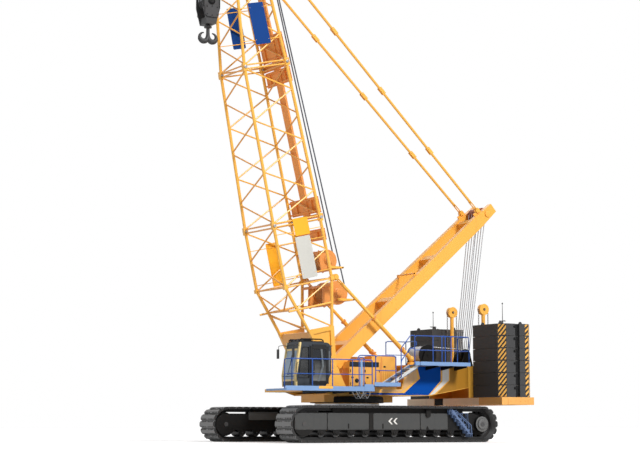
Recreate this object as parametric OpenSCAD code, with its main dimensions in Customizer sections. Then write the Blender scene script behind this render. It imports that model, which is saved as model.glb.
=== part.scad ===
// Crawler crane with a lattice boom, a luffing mast and rear counterweights.
// Millimetres, +X to the front, +Y to the machine's left, +Z up, ground at z = 0.

/* [Tracks] */
// Length over the track shoes
track_l = 9400; // [8600:50:10400]
// Height over the track shoes
track_h = 1400; // [1300:20:1440]
// Distance between the two track centre lines
track_gauge = 6260; // [5900:20:6800]
// Width of a track shoe
shoe_w = 1200; // [900:20:1300]
// Number of shoes on one track
shoe_count = 64; // [52:2:76]
// Gap between two shoes
shoe_gap = 60; // [40:5:100]
// Thickness of a shoe with its lug
shoe_t = 80; // [60:5:110]
// Depth of the step between shoe and lug
lug_h = 35; // [20:5:45]
// Thickness of the link chain inside the shoes
link_t = 130; // [100:5:160]
// Width of the link chain
link_w = 520; // [400:20:640]
// Radius of a lower roller
roller_r = 150; // [120:5:170]
// Number of lower rollers on one track
roller_count = 11; // [8:1:13]
// Radius of an upper carrier roller
carrier_r = 105; // [80:5:120]
// Width of a track side frame over its plates
side_frame_w = 760; // [700:10:840]
// Thickness of a side frame plate
side_plate_t = 50; // [30:5:70]

/* [Carbody and slewing] */
// Half length of the carbody box
carbody_half = 1550; // [1300:50:1800]
// Radius of the slewing ring
slew_r = 1300; // [1100:20:1500]
// Height of the top of the slewing ring
slew_top = 1500; // [1480:5:1560]
// Height of the slewing ring
slew_h = 150; // [100:10:180]

/* [Turntable] */
// Distance of the frame's sides outside the boom chords
frame_side = 282.5; // [240:2.5:400]
// Thickness of a frame side plate
frame_plate = 60; // [40:5:90]
// Front end of the frame
frame_front = 2950; // [2700:50:3200]
// Rear end of the frame
frame_rear = 6150; // [5900:50:6500]
// Height of the front deck
deck_z = 2080; // [2000:10:2120]
// Height of the rear deck
rear_deck_z = 3050; // [2850:20:3200]
// Height of the boom foot pin
foot_z = 2730; // [2600:10:2900]
// Distance of the boom foot pin in front of the slewing axis
foot_x = 1410; // [1300:10:1600]
// Diameter of the boom foot pin
foot_pin_d = 180; // [140:10:220]
// Running clearance round a pin
pin_gap = 0.5; // [0.3:0.1:1]

/* [Boom] */
// Boom angle above the ground
boom_angle = 77.3; // [70:0.1:80]
// Station of the top of the tapered foot
kink_s = 3590; // [3300:10:3900]
// Station of the joint between butt and insert
joint1_s = 6025; // [5700:25:6400]
// Station of the joint between insert and head
joint2_s = 12300; // [11500:100:13000]
// Station of the head plates
head_s = 17700; // [16800:100:18400]
// Lateral distance of the chords at the foot
boom_w = 2315; // [2240:5:2360]
// Lateral distance of the chords at the top of the insert
boom_w2 = 1980; // [1800:20:2200]
// Lateral distance of the chords at the head plates
boom_w3 = 1660; // [1500:20:1800]
// Front chord's distance from the pin line in the butt
front_1 = 1315; // [1200:5:1400]
// Front chord's distance from the pin line at the top of the insert
front_2 = 1150; // [1000:10:1250]
// Front chord's distance from the pin line at the head plates
front_3 = 470; // [400:10:600]
// Rear chord's distance from the pin line in the butt
rear_1 = 825; // [760:5:900]
// Rear chord's distance from the pin line at the top of the insert
rear_2 = 750; // [680:10:820]
// Rear chord's distance from the pin line at the head plates
rear_3 = 560; // [480:10:640]
// Diameter of a boom chord
chord_d = 125; // [110:5:170]
// Diameter of a lacing tube
lace_d = 64; // [50:2:80]
// Lacing bays in the insert
insert_bays = 6; // [4:1:8]
// Lacing bays in the head
head_bays = 5; // [4:1:7]
// Radius of the sheaves in the boom head and the hook block
sheave_r = 310; // [280:5:330]
// Number of sheaves in the boom head and the hook block
sheave_n = 4; // [2:1:4]

/* [Mast] */
// Angle of the mast above the rear horizontal
mast_angle = 40.5; // [38:0.5:46]
// Length of the mast from foot pin to head end
mast_l = 10850; // [10000:50:11400]
// Lateral distance of the mast legs at the foot
mast_w = 1500; // [1480:10:1520]
// Lateral distance of the mast legs at the head
mast_w2 = 1150; // [1000:10:1300]
// Depth of a mast leg
mast_leg_d = 520; // [420:10:620]
// Thickness of a mast leg
mast_leg_t = 240; // [180:10:300]

/* [Counterweight] */
// Number of slabs in one stack
slab_n = 6; // [3:1:6]
// Height of one slab
slab_h = 493; // [420:1:520]
// Length of a slab along the crane
slab_l = 1595; // [1400:5:1700]
// Width of a slab across the crane
slab_w = 1950; // [1700:10:2000]
// Front of the stacks behind the slewing axis
stack_front = 5150; // [5100:10:5400]
// Height of the tray
tray_h = 305; // [260:5:320]
// Chamfer at the outer corners of a slab
slab_chamfer = 260; // [150:10:320]

/* [Cab and walkways] */
// Length of the cab
cab_l = 1500; // [1400:10:1600]
// Width of the cab
cab_w = 1040; // [980:10:1100]
// Height of the cab
cab_h = 1680; // [1600:10:1760]
// Wall thickness of the cab
cab_t = 55; // [45:5:65]
// Front of the cab in front of the slewing axis
cab_front = 3680; // [3600:10:3760]
// Lap of the cab over the frame's side
cab_lap = 55; // [40:5:60]
// Travel of the sliding door
door_travel = 640; // [560:10:700]
// Width of the lower walkway
walk_w = 1510; // [1460:10:1610]
// Width of the upper platform
upper_w = 910; // [800:10:1000]
// Width of the engine housing
engine_w = 1080; // [1000:10:1150]
// Front end of the lower walkway
walk_front = 4480; // [4400:10:4550]
// Height of a railing
rail_h = 1050; // [900:10:1150]
// Diameter of a railing tube
rail_d = 42; // [34:2:60]

/* [Hook] */
// Height of the hook's lowest point
hook_low = 15450; // [14800:50:16000]
// Half length of the hook block's cheeks
block_half = 370; // [350:5:420]
// Width of the hook block across its cheeks
block_w = 620; // [560:10:700]

/* [Hidden] */

yellow = [0.96, 0.70, 0.12];
orange = [0.86, 0.50, 0.10];
black = [0.13, 0.13, 0.14];
grey = [0.30, 0.31, 0.33];
steel = [0.55, 0.56, 0.58];
blue = [0.22, 0.45, 0.72];
maroon = [0.45, 0.16, 0.14];
glassy = [0.35, 0.42, 0.48, 0.5];

eps = 0.5;
seat = 0.3;
round_fn = 48;
tube_fn = 12;
lace_fn = 8;
frame_half = boom_w / 2 + frame_side;

// Sizes of the running gear
end_r = track_h / 2;
end_x = track_l / 2 - end_r;
belt_t = shoe_t + link_t;
run_low = belt_t;
wheel_r = end_r - belt_t - seat;
straight_l = 2 * end_x;
shoe_pitch = (2 * straight_l + 2 * PI * end_r) / shoe_count;
roller_z = run_low + roller_r + seat;
carrier_z = track_h - belt_t - carrier_r - seat;
frame_low = run_low + 85;
panel_low = run_low + 255;
roller_shaft_r = 30;
frame_high = track_h - belt_t - 60;
axle_d = 170;

// Boom frame: pin line at the origin, local z along the boom, local x to the front
boom_tilt = 90 - boom_angle;
mast_tilt = 90 - mast_angle;
kink_st = [kink_s, boom_w / 2, front_1, -rear_1];
joint1_st = [joint1_s, boom_w / 2, front_1, -rear_1];
joint2_st = [joint2_s, boom_w2 / 2, front_2, -rear_2];
head_st = [head_s, boom_w3 / 2, front_3, -rear_3];
conn_l = 150;
conn_w = chord_d + 40;
sheave_x = 880;
sheave_s = head_s + 800;
head_top = head_s + 1550;
pendant_s = head_s - 420;
pendant_lug_x = -rear_3 - 190;
eye_w = 170;
eye_r = 210;
foot_y = boom_w / 2;
mast_foot_y = mast_w / 2;
lug_gap = 5;
lug_t = 60;
pendant_lug_d = 90;
pendant_m = mast_l - 700;
pendant_q = 380;
mast_sheave_m = mast_l - 430;
mast_nose = 60;

function boom_pt(p) = [foot_x + p.x * cos(boom_tilt) + p.z * sin(boom_tilt), p.y,
  foot_z - p.x * sin(boom_tilt) + p.z * cos(boom_tilt)];
function mast_pt(p) = [foot_x + p.x * cos(mast_tilt) - p.z * sin(mast_tilt), p.y,
  foot_z + p.x * sin(mast_tilt) + p.z * cos(mast_tilt)];
function mix(a, b, k) = a + (b - a) * k;
function corner(st, front, side) = [front > 0 ? st[2] : st[3], side * st[1], st[0]];
function station(a, b, s) = mix(a, b, (s - a[0]) / (b[0] - a[0]));

// Overall reach in X puts the origin under the middle of the crane
head_axis = boom_pt([sheave_x, 0, sheave_s]);
front_reach = head_axis.x + block_half;
rear_reach = mast_pt([mast_nose - mast_leg_d / 2, 0, mast_l]).x;
slew_x = -(front_reach + rear_reach) / 2;

// Hook and falls
hook_drop = 640;
block_low = hook_low + hook_drop;
block_axle_z = block_low + 1030;
block_high = block_axle_z + sheave_r + 50;
rope_d = 28;
groove_r = 22;
groove_in = 14;
sheave_step = 130;
fall_x = sheave_r - groove_in + rope_d / 2 + seat;

// Counterweight and rear
tray_low = 1470;
stack_low = tray_low + tray_h;
stack_high = stack_low + slab_n * slab_h;
stack_in = frame_half + 30;
stack_out = stack_in + slab_w;
post_x = -(stack_front + 780);
post_y = frame_half - 310;

// Cab
cab_in = frame_half - cab_lap;
cab_rear = cab_front - cab_l;
cab_out = cab_in + cab_w;
cab_low = deck_z + 40;
cab_high = cab_low + cab_h;
door_t = 40;
door_gap = 6;
door_front = cab_rear + 0.6 * cab_l;
door_rear = cab_rear + 0.12 * cab_l;
door_low = cab_low + 150;
door_high = cab_high - 210;
walk_z = deck_z - 60;
walk_step_x = 550;
walk_step_rear = -650;
walk_step_z = walk_z + 170;
walk_out = frame_half + walk_w;
upper_out = frame_half + upper_w;
upper_front = -1720;
upper_rear = -4400;
upper_edge = upper_front - 260;
right_out = walk_out + 100;
kick_h = 110;
kick_t = 12;

// A straight tube between two points
module strut(p, q, d, sides = lace_fn) {
  v = q - p;
  l = norm(v);
  translate(p)
    rotate([0, acos(v.z / l), atan2(v.y, v.x)])
      cylinder(h = l, d = d, $fn = sides);
}

// A cylinder along Y, centred
module axle(r, l) {
  rotate([90, 0, 0]) cylinder(r = r, h = l, center = true, $fn = round_fn);
}

// A plate from an XZ outline, between two Y values
module plate(y0, y1) {
  translate([0, y1, 0]) rotate([90, 0, 0]) linear_extrude(height = y1 - y0) children();
}

module both_sides() {
  children();
  mirror([0, 1, 0]) children();
}

module at_slew() { translate([slew_x, 0, 0]) children(); }
module at_boom() { translate([slew_x + foot_x, 0, foot_z]) rotate([0, boom_tilt, 0]) children(); }
module at_mast() { translate([slew_x + foot_x, 0, foot_z]) rotate([0, -mast_tilt, 0]) children(); }

// The lower run is arched a little, so that the track stands on its end shoes
track_arch = 1.5;
arch_l = 1000;
function arch(q) = track_arch * max(0, min(1, (min(q, straight_l - q) - shoe_pitch / 2) / arch_l));

// Point on the track loop at distance p along the shoes' outer face, moved in by d
function loop_pt(p, d) =
  let (arc = PI * end_r, q = p - floor(p / (2 * straight_l + 2 * arc)) * (2 * straight_l + 2 * arc),
    r = end_r - d)
  q < straight_l ? [-end_x + q, end_r - r + arch(q)]
  : q < straight_l + arc ? let (t = (q - straight_l) / end_r * 180 / PI) [end_x + r * sin(t),
    end_r - r * cos(t)]
  : q < 2 * straight_l + arc ? [end_x - (q - straight_l - arc), end_r + r]
  : let (t = (q - 2 * straight_l - arc) / end_r * 180 / PI) [-end_x - r * sin(t), end_r + r * cos(t)];

// Shoes are counted from the middle of the lower run, so that both ends of the track stand alike
module shoe_outline() {
  half = (shoe_pitch - shoe_gap) / 2;
  lug_half = half * 0.45;
  polygon([for (i = [0:shoe_count - 1]) let (p = straight_l / 2 + i * shoe_pitch) each [
    loop_pt(p - half, lug_h), loop_pt(p - lug_half, 0),
    loop_pt(p + lug_half, 0), loop_pt(p + half, lug_h),
    loop_pt(p + half, shoe_t), loop_pt(p + shoe_pitch - half, shoe_t)]]);
}

module loop_outline(d) {
  r = end_r - d;
  for (x = [-end_x, end_x]) translate([x, end_r]) circle(r = r, $fn = round_fn);
  translate([-end_x, end_r - r]) square([straight_l, 2 * r]);
}

module track(side) {
  color(black) at_slew() translate([0, side * track_gauge / 2, 0]) {
    plate(-shoe_w / 2, shoe_w / 2) difference() {
      shoe_outline();
      loop_outline(shoe_t + 20);
    }
    plate(-link_w / 2, link_w / 2) difference() {
      loop_outline(shoe_t + 10);
      loop_outline(belt_t);
    }
  }
}
module track_left() { track(1); }
module track_right() { track(-1); }

roller_end = 750;
roller_step = 2 * (end_x - roller_end) / (roller_count - 1);
function roller_x(i) = -end_x + roller_end + i * roller_step;

// Side plate with a round nose at the idler and a bracket under it at each roller
nose_r = wheel_r - 40;
bracket_w = 110;
module side_frame_outline() {
  polygon([[-end_x, panel_low + 60], [-end_x + 300, panel_low], [end_x - 300, panel_low],
    [end_x, panel_low - 60],
    [end_x, frame_high], [-end_x + 420, frame_high], [-end_x, frame_high - 120], [-end_x - 120, end_r]]);
  translate([end_x, end_r]) circle(r = nose_r, $fn = round_fn);
  for (i = [0:roller_count - 1]) translate([roller_x(i), 0])
    polygon([[-bracket_w, frame_low], [bracket_w, frame_low], [bracket_w + 60, panel_low + eps],
      [-bracket_w - 60, panel_low + eps]]);
}
carrier_at = [-end_x * 0.45, end_x * 0.45];

module side_frame(side) {
  half = side_frame_w / 2;
  core_low = roller_z + roller_r + 20;
  core_high = carrier_z - carrier_r - 40;
  color(grey) at_slew() translate([0, side * track_gauge / 2, 0]) difference() {
    union() {
      for (y = [-half, half - side_plate_t]) plate(y, y + side_plate_t) side_frame_outline();
      translate([-end_x + wheel_r + 120, -half, core_low])
        cube([2 * end_x - 2 * wheel_r - 240, side_frame_w, core_high - core_low]);
    }
    for (x = [-end_x, end_x]) translate([x, 0, end_r]) axle(axle_d / 2 + pin_gap, side_frame_w + 20);
    for (i = [0:roller_count - 1]) translate([roller_x(i), 0, roller_z])
      axle(roller_shaft_r + pin_gap, side_frame_w + 20);
    for (x = carrier_at) translate([x, 0, carrier_z]) axle(roller_shaft_r + pin_gap, side_frame_w + 20);
  }
}
module side_frame_left() { side_frame(1); }
module side_frame_right() { side_frame(-1); }

module wheel(r, w) {
  axle(r, w);
  axle(axle_d * 0.9, side_frame_w - 2 * side_plate_t - 10);
  axle(axle_d / 2, side_frame_w + 60);
}

module idlers() {
  color(grey) at_slew() both_sides() translate([end_x, track_gauge / 2, end_r]) wheel(wheel_r, 360);
}

module sprockets() {
  teeth = 14;
  color(grey) at_slew() both_sides() translate([-end_x, track_gauge / 2, end_r]) {
    plate(-110, 110) polygon([for (i = [0:teeth - 1]) each [
      for (k = [[0.0, 0.86], [0.25, 0.86], [0.42, 1], [0.83, 1]])
        wheel_r * k[1] * [cos((i + k[0]) * 360 / teeth), sin((i + k[0]) * 360 / teeth)]]]);
    axle(axle_d * 0.9, side_frame_w - 2 * side_plate_t - 10);
    axle(axle_d / 2, side_frame_w + 60);
    translate([0, side_frame_w / 2 + 70, 0]) axle(300, 130);
    translate([0, side_frame_w / 2 + 145, 0]) axle(210, 50);
  }
}

module roller(r) {
  shaft = side_frame_w - 2 * side_plate_t - 10;
  axle(r, shaft);
  axle(roller_shaft_r, side_frame_w + 10);
}

module lower_rollers() {
  color(grey) at_slew() both_sides() for (i = [0:roller_count - 1])
    translate([roller_x(i), track_gauge / 2, roller_z]) roller(roller_r);
}

module carrier_rollers() {
  color(grey) at_slew() both_sides() for (x = carrier_at)
    translate([x, track_gauge / 2, carrier_z]) roller(carrier_r);
}

module carbody() {
  arm_y = track_gauge / 2 - side_frame_w / 2;
  arm_low = 480;
  arm_w = 620;
  box_high = slew_top - slew_h - 90;
  color(black) at_slew() {
    translate([-carbody_half, -carbody_half, arm_low])
      cube([2 * carbody_half, 2 * carbody_half, box_high - arm_low]);
    for (x = [-carbody_half + arm_w / 2, carbody_half - arm_w / 2]) plate_x(x - arm_w / 2, x + arm_w / 2)
      polygon([[-arm_y, arm_low + 60], [-carbody_half, arm_low], [carbody_half, arm_low],
        [arm_y, arm_low + 60],
        [arm_y, frame_high - 60], [carbody_half, box_high], [-carbody_half, box_high],
          [-arm_y, frame_high - 60]]);
    translate([0, 0, box_high - 10])
      cylinder(r = slew_r + 90, h = slew_top - slew_h - box_high + 10, $fn = round_fn);
  }
}

// A plate from a YZ outline, between two X values
module plate_x(x0, x1) {
  translate([x0, 0, 0]) rotate([90, 0, 90]) linear_extrude(height = x1 - x0) children();
}

module slewing_ring() {
  color(steel) at_slew() difference() {
    translate([0, 0, slew_top - slew_h]) cylinder(r = slew_r, h = slew_h, $fn = round_fn);
    translate([0, 0, slew_top - slew_h - 1]) cylinder(r = slew_r - 260, h = slew_h + 2, $fn = round_fn);
  }
}

step_top = [-2560, 1180];
step_foot = [-3380, 300];
step_n = 4;
step_t = 40;
step_run = 240;
step_rail_h = 110;
module access_steps() {
  out = track_gauge / 2 + shoe_w / 2 - 60;
  inner = track_gauge / 2 + side_frame_w / 2;
  color(blue) at_slew() both_sides() {
    for (y = [inner, out - step_t]) plate(y, y + step_t)
      polygon([step_top, step_top + [0, step_rail_h], step_foot + [0, step_rail_h], step_foot]);
    for (i = [0:step_n - 1]) translate([mix(step_foot, step_top, (i + 0.5) / step_n).x - step_run / 2,
      inner,
      mix(step_foot, step_top, (i + 0.5) / step_n).y + step_t]) cube([step_run, out - inner, step_t]);
  }
}

// Side plate: thin at the front, lowest over the slewing ring, rising to the post on the tray
belly_z = slew_top + 330;
belly_t = 60;
belly_rear = -2990;
deck_t = 120;
box_half = 900;
box_front = slew_r + 290;
tray_post_x = -stack_front + 200;
tray_post_rise = 340;
module frame_side_outline() {
  polygon([[box_front, belly_z], [box_front + 420, deck_z - deck_t], [frame_front, deck_z - deck_t],
    [frame_front, deck_z], [upper_front + 60, deck_z], [upper_front - 240, rear_deck_z],
    [-frame_rear, rear_deck_z], [-frame_rear, stack_low], [tray_post_x, stack_low],
    [tray_post_x, belly_z + tray_post_rise], [belly_rear, belly_z]]);
}

// Box between the belly plate and the slewing ring
module ring_box() {
  low = slew_top + 60;
  both_sides() translate([-box_front, box_half - belly_t, low])
    cube([2 * box_front, belly_t, belly_z - low + 10]);
  for (x = [-box_front, box_front - belly_t]) translate([x, -box_half, low])
    cube([belly_t, 2 * box_half, belly_z - low + 10]);
  translate([-box_front, -box_half, low]) cube([2 * box_front, 2 * box_half, belly_t]);
}

lug_r = eye_r + 60;
lug_rear = 620;
lug_front = 480;
module foot_lug_outline() {
  translate([foot_x, foot_z]) circle(r = lug_r, $fn = round_fn);
  polygon([[foot_x - lug_rear, deck_z - eps], [foot_x + lug_front, deck_z - eps],
    [foot_x + lug_r, foot_z], [foot_x - lug_r, foot_z]]);
}

function lug_bands() = [
  [mast_foot_y - eye_w / 2 - lug_gap - lug_t, mast_foot_y - eye_w / 2 - lug_gap],
  [mast_foot_y + eye_w / 2 + lug_gap, mast_foot_y + eye_w / 2 + lug_gap + lug_t],
  [foot_y - eye_w / 2 - lug_gap - lug_t, foot_y - eye_w / 2 - lug_gap],
  [foot_y + eye_w / 2 + lug_gap, foot_y + eye_w / 2 + lug_gap + lug_t]];

backstop_seat = [-2320, 3300];
backstop_y = foot_y;
backstop_d = 170;
backstop_ball_r = 128;
butt_lug_x = -rear_1 - 190;

module turntable_frame() {
  color(yellow) at_slew() difference() {
    union() {
      both_sides() plate(frame_half - frame_plate, frame_half) frame_side_outline();
      // Deck over the front of the frame and floor under the rear winch bay
      translate([upper_front, -frame_half, deck_z - deck_t])
        cube([frame_front - upper_front, 2 * frame_half, deck_t]);
      translate([-frame_rear + 40, -frame_half, rear_deck_z - 80])
        cube([frame_rear - 40 + upper_front - 240, 2 * frame_half, 80]);
      translate([-frame_rear + 40, -frame_half, stack_low])
        cube([60, 2 * frame_half, rear_deck_z - stack_low - 40]);
      translate([belly_rear, -frame_half, belly_z])
        cube([box_front - belly_rear, 2 * frame_half, belly_t]);
      ring_box();
      translate([0, 0, slew_top + seat]) cylinder(r = slew_r - 20, h = 70, $fn = round_fn);
      for (b = lug_bands()) both_sides() plate(b[0], b[1]) foot_lug_outline();
      // Seats that the boom backstops rest in
      both_sides() translate([backstop_seat[0], backstop_y, rear_deck_z - eps])
        cylinder(r = 150, h = backstop_seat[1] - rear_deck_z - backstop_ball_r - seat + eps,
          $fn = round_fn);
    }
    translate([foot_x, 0, foot_z]) axle(foot_pin_d / 2 + pin_gap, 4 * frame_half);
  }
}

module foot_pins() {
  bands = lug_bands();
  color(steel) at_slew() both_sides() translate([foot_x, 0, foot_z])
    translate([0, (bands[0][0] + bands[3][1]) / 2, 0])
      axle(foot_pin_d / 2, bands[3][1] - bands[0][0] + 60);
}

housing_rear = -1450;
housing_top = 3150;
housing_split = -280;
housing_step = 230;
housing_in = mast_foot_y + mast_leg_t / 2 + 40;
housing_out = frame_half - 20;
module machinery_housing() {
  color(yellow) at_slew() {
    plate(housing_in, housing_out) polygon([[foot_x - 660, deck_z], [foot_x - 660, housing_top - 260],
      [foot_x - 760, housing_top],
      [housing_split, housing_top], [housing_split, housing_top + housing_step],
        [housing_rear + 80, housing_top + housing_step],
      [housing_rear, housing_top + housing_step - 80], [housing_rear, deck_z]]);
  }
}

engine_y = [frame_half, frame_half + engine_w];
engine_low = walk_z - 60;
engine_x = [-3300, 900];
engine_top = 3420;
engine_t = 40;
module engine_housing() {
  color(yellow) at_slew() mirror([0, 1, 0]) difference() {
    plate(engine_y[0], engine_y[1])
      polygon([[engine_x[0], engine_low], [engine_x[0], engine_top], [engine_x[1] - 200, engine_top],
      [engine_x[1], engine_top - 220], [engine_x[1], engine_low]]);
    translate([engine_x[0] + engine_t, engine_y[0] + engine_t, engine_low + engine_t])
      cube([engine_x[1] - engine_x[0] - 2 * engine_t, engine_y[1] - engine_y[0] - 2 * engine_t,
        engine_top - engine_low - 300]);
    // Louvres in the outer side
    for (i = [0:6]) translate([engine_x[0] + 300 + i * 240, engine_y[1] - engine_t - 10, deck_z + 560])
      cube([120, engine_t + 20, 520]);
  }
}

engine_block_h = 900;
engine_block_rear = 700;
engine_block_front = 1800;
engine_room = 150;
module engine_block() {
  color(black) at_slew() mirror([0, 1, 0])
    translate([engine_x[0] + engine_block_rear, engine_y[0] + engine_room, engine_low + engine_t])
      cube([engine_x[1] - engine_x[0] - engine_block_rear - engine_block_front,
        engine_w - 2 * engine_room, engine_block_h]);
}

// Floor plate with kick plates along its outer edge and ends
module floor_strip(x0, x1, y0, y1, z, ends) {
  translate([x0, y0, z - 40]) cube([x1 - x0, y1 - y0, 40]);
  translate([x0, y1 - kick_t, z - eps]) cube([x1 - x0, kick_t, kick_h]);
  for (x = ends) translate([x == 0 ? x0 : x1 - kick_t, y0, z - eps]) cube([kick_t, y1 - y0, kick_h]);
}

module walkways() {
  color(blue) at_slew() {
    floor_strip(walk_step_x, walk_front, frame_half, walk_out, walk_z, []);
    floor_strip(walk_step_rear, walk_step_x, housing_out, walk_out, walk_step_z, []);
    floor_strip(upper_rear, upper_edge, frame_half, upper_out, rear_deck_z, [0]);
    mirror([0, 1, 0]) {
      floor_strip(upper_rear, engine_x[0], frame_half, upper_out, rear_deck_z, [0]);
      floor_strip(engine_x[0], engine_x[1], engine_y[1], right_out, walk_z, [0, 1]);
    }
  }
}

// Railing along a run of points with posts, a hand rail and a knee rail
module railing(points) {
  for (i = [0:len(points) - 2]) {
    p = points[i];
    q = points[i + 1];
    n = max(1, round(norm(q - p) / 900));
    for (k = [0:n]) translate(mix(p, q, k / n)) cylinder(d = rail_d, h = rail_h, $fn = 8);
    for (z = [rail_h - rail_d / 2, rail_h / 2]) strut(p + [0, 0, z], q + [0, 0, z], rail_d, 8);
  }
}

rail_in = 45;
module railings() {
  color(blue) at_slew() {
    railing([[walk_front - rail_in, frame_half + 60, walk_z],
      [walk_front - rail_in, walk_out - rail_in, walk_z],
      [walk_step_x + 80, walk_out - rail_in, walk_z]]);
    railing([[walk_step_x - 80, walk_out - rail_in, walk_step_z],
      [walk_step_rear + rail_in, walk_out - rail_in, walk_step_z]]);
    railing([[upper_edge - rail_in, upper_out - rail_in, rear_deck_z],
      [upper_rear + rail_in, upper_out - rail_in, rear_deck_z],
      [upper_rear + rail_in, frame_half + 60, rear_deck_z]]);
    mirror([0, 1, 0]) {
      railing([[engine_x[0] - rail_in, upper_out - rail_in, rear_deck_z],
        [upper_rear + rail_in, upper_out - rail_in, rear_deck_z],
        [upper_rear + rail_in, frame_half + 60, rear_deck_z]]);
      railing([[engine_x[1] - rail_in, right_out - rail_in, walk_z],
        [engine_x[0] + rail_in, right_out - rail_in, walk_z]]);
    }
  }
}

module platform_ladder() {
  low = [walk_step_rear, 0, walk_step_z];
  high = [upper_edge, 0, rear_deck_z];
  inner = frame_half + 120;
  wide = 620;
  color(blue) at_slew() {
    for (y = [inner, inner + wide - 40]) plate(y, y + 40)
      polygon([[low.x, low.z - 40], [low.x, low.z + 90], [high.x, high.z],
      [high.x, high.z - 130]]);
    for (k = [0.2, 0.4, 0.6, 0.8]) translate(mix(low, high, k) + [-110, inner, -40])
      cube([220, wide, 30]);
  }
}

module counterweight_tray() {
  color(yellow) at_slew() {
    difference() {
      translate([-stack_front - slab_l, -stack_out, tray_low]) cube([slab_l, 2 * stack_out, tray_h]);
      translate([-stack_front - slab_l + 300, -stack_out - 10, tray_low - 10])
        cube([slab_l - 600, 2 * stack_out + 20, tray_h - 50]);
    }
  }
}

module slab_outline() {
  x0 = -stack_front - slab_l;
  x1 = -stack_front;
  difference() {
    polygon([[x0, stack_in], [x1, stack_in], [x1, stack_out - slab_chamfer],
      [x1 - slab_chamfer, stack_out],
      [x0 + slab_chamfer, stack_out], [x0, stack_out - slab_chamfer]]);
    translate([(x0 + x1) / 2 - 110, stack_out - 120]) square([220, 240]);
  }
}

module counterweight() {
  groove = 14;
  color(grey) at_slew() for (i = [0:slab_n - 1]) translate([0, 0, stack_low + i * slab_h]) {
    linear_extrude(height = slab_h - groove) slab_outline();
    if (i < slab_n - 1) translate([-stack_front - slab_l + 60, stack_in + 60, slab_h - groove - eps])
      cube([slab_l - 120, slab_w - 320, groove + 2 * eps]);
  }
}
module counterweight_left() { counterweight(); }
module counterweight_right() { mirror([0, 1, 0]) counterweight(); }

post_h = 2370;
post_r = 80;
post_flange_r = 200;
post_flange_h = 120;
post_head_r = 230;
post_head_t = 180;
post_eye_r = 60;
module lifting_posts() {
  color(yellow) at_slew() both_sides() translate([post_x, post_y, rear_deck_z]) difference() {
    union() {
      cylinder(r = post_r, h = post_h - 2 * post_eye_r, $fn = round_fn);
      cylinder(r = post_flange_r, h = post_flange_h, $fn = round_fn);
      translate([0, 0, post_h]) axle(post_head_r, post_head_t);
    }
    translate([0, 0, post_h]) axle(post_eye_r, 2 * post_head_t);
  }
}

winch_x = -3600;
module drum(r, flange_r, l) {
  axle(r, l);
  for (y = [-l / 2, l / 2]) translate([0, y, 0]) axle(flange_r, 50);
}

module luffing_winch() {
  r = 330;
  l = 900;
  z = rear_deck_z + 470;
  color(orange) at_slew() {
    translate([winch_x, 0, z]) drum(r, r + 90, l);
    both_sides() plate(l / 2 + 40, l / 2 + 110)
      polygon([[winch_x - 420, rear_deck_z], [winch_x + 420, rear_deck_z],
      [winch_x + 180, z + 160], [winch_x - 180, z + 160]]);
    translate([winch_x, 0, z]) axle(90, l + 260);
  }
}

luff_x = -5650;
luff_z = 3560;
luff_r = 250;
module luffing_block() {
  color(maroon) at_slew() {
    for (i = [0:4]) translate([luff_x, (i - 2) * 110, luff_z]) axle(luff_r, 60);
    translate([luff_x, 0, luff_z]) axle(70, 760);
    both_sides() plate(320, 370) polygon([[luff_x - 300, rear_deck_z], [luff_x + 300, rear_deck_z],
      [luff_x + 120, luff_z + 130], [luff_x - 120, luff_z + 130]]);
  }
}

// Cab: profile of its side, with a sloped front and a round rear top corner
cab_round = 240;
module cab_profile(inset) {
  r = cab_round - inset;
  lo = cab_low + inset;
  hi = cab_high - inset;
  union() {
    polygon([[cab_rear + 260 + inset * 0.6, lo], [cab_front + 60 - inset, lo],
      [cab_front + 90 - inset, lo + 420],
      [cab_front - 120 - inset, hi], [cab_rear + cab_round, hi],
        [cab_rear + inset, hi - r], [cab_rear + inset, cab_low + 520]]);
    translate([cab_rear + cab_round, cab_high - cab_round]) circle(r = r, $fn = round_fn);
  }
}

module side_window(inset) {
  offset(delta = -inset) polygon([[door_front + 90, cab_low + 320], [cab_front - 60, cab_low + 460],
    [cab_front - 230, cab_high - 190],
    [door_front + 90, cab_high - 190]]);
}

module door_opening(inset) {
  translate([door_rear + inset, door_low + inset])
    square([door_front - door_rear - 2 * inset, door_high - door_low - 2 * inset]);
}

// Ring between the outer and the inner profile, one band of it at a time
module cab_band() {
  plate(cab_in + cab_t, cab_out - cab_t) intersection() {
    difference() {
      cab_profile(0);
      cab_profile(cab_t);
    }
    children();
  }
}

floor_cut = cab_low + 200;
roof_cut = cab_high - cab_round - 10;
module cab_floor() {
  color(grey) at_slew() {
    cab_band() translate([0, 0]) square([2 * cab_front, floor_cut]);
    translate([cab_rear + 400, frame_half + 20, walk_z])
      cube([cab_l - 600, cab_out - frame_half - 120, cab_low - walk_z + eps]);
  }
}

module cab_roof() {
  color(grey) at_slew() cab_band() translate([0, roof_cut]) square([2 * cab_front, 2 * cab_h]);
}

module cab_front_wall() {
  color([0.9, 0.82, 0.6]) at_slew() difference() {
    cab_band() translate([cab_rear + cab_l / 2, floor_cut]) square([cab_l, roof_cut - floor_cut]);
    translate([cab_front - 700, cab_in + cab_t + 60, floor_cut + 70])
      cube([1400, cab_w - 2 * cab_t - 120, roof_cut - floor_cut - 140]);
  }
}

module cab_rear_wall() {
  color(grey) at_slew() difference() {
    cab_band() translate([cab_rear - cab_l / 2, floor_cut]) square([cab_l, roof_cut - floor_cut]);
    translate([cab_rear - 200, cab_in + cab_t + 120, cab_low + 760])
      cube([400, cab_w - 2 * cab_t - 240, roof_cut - cab_low - 860]);
  }
}

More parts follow.
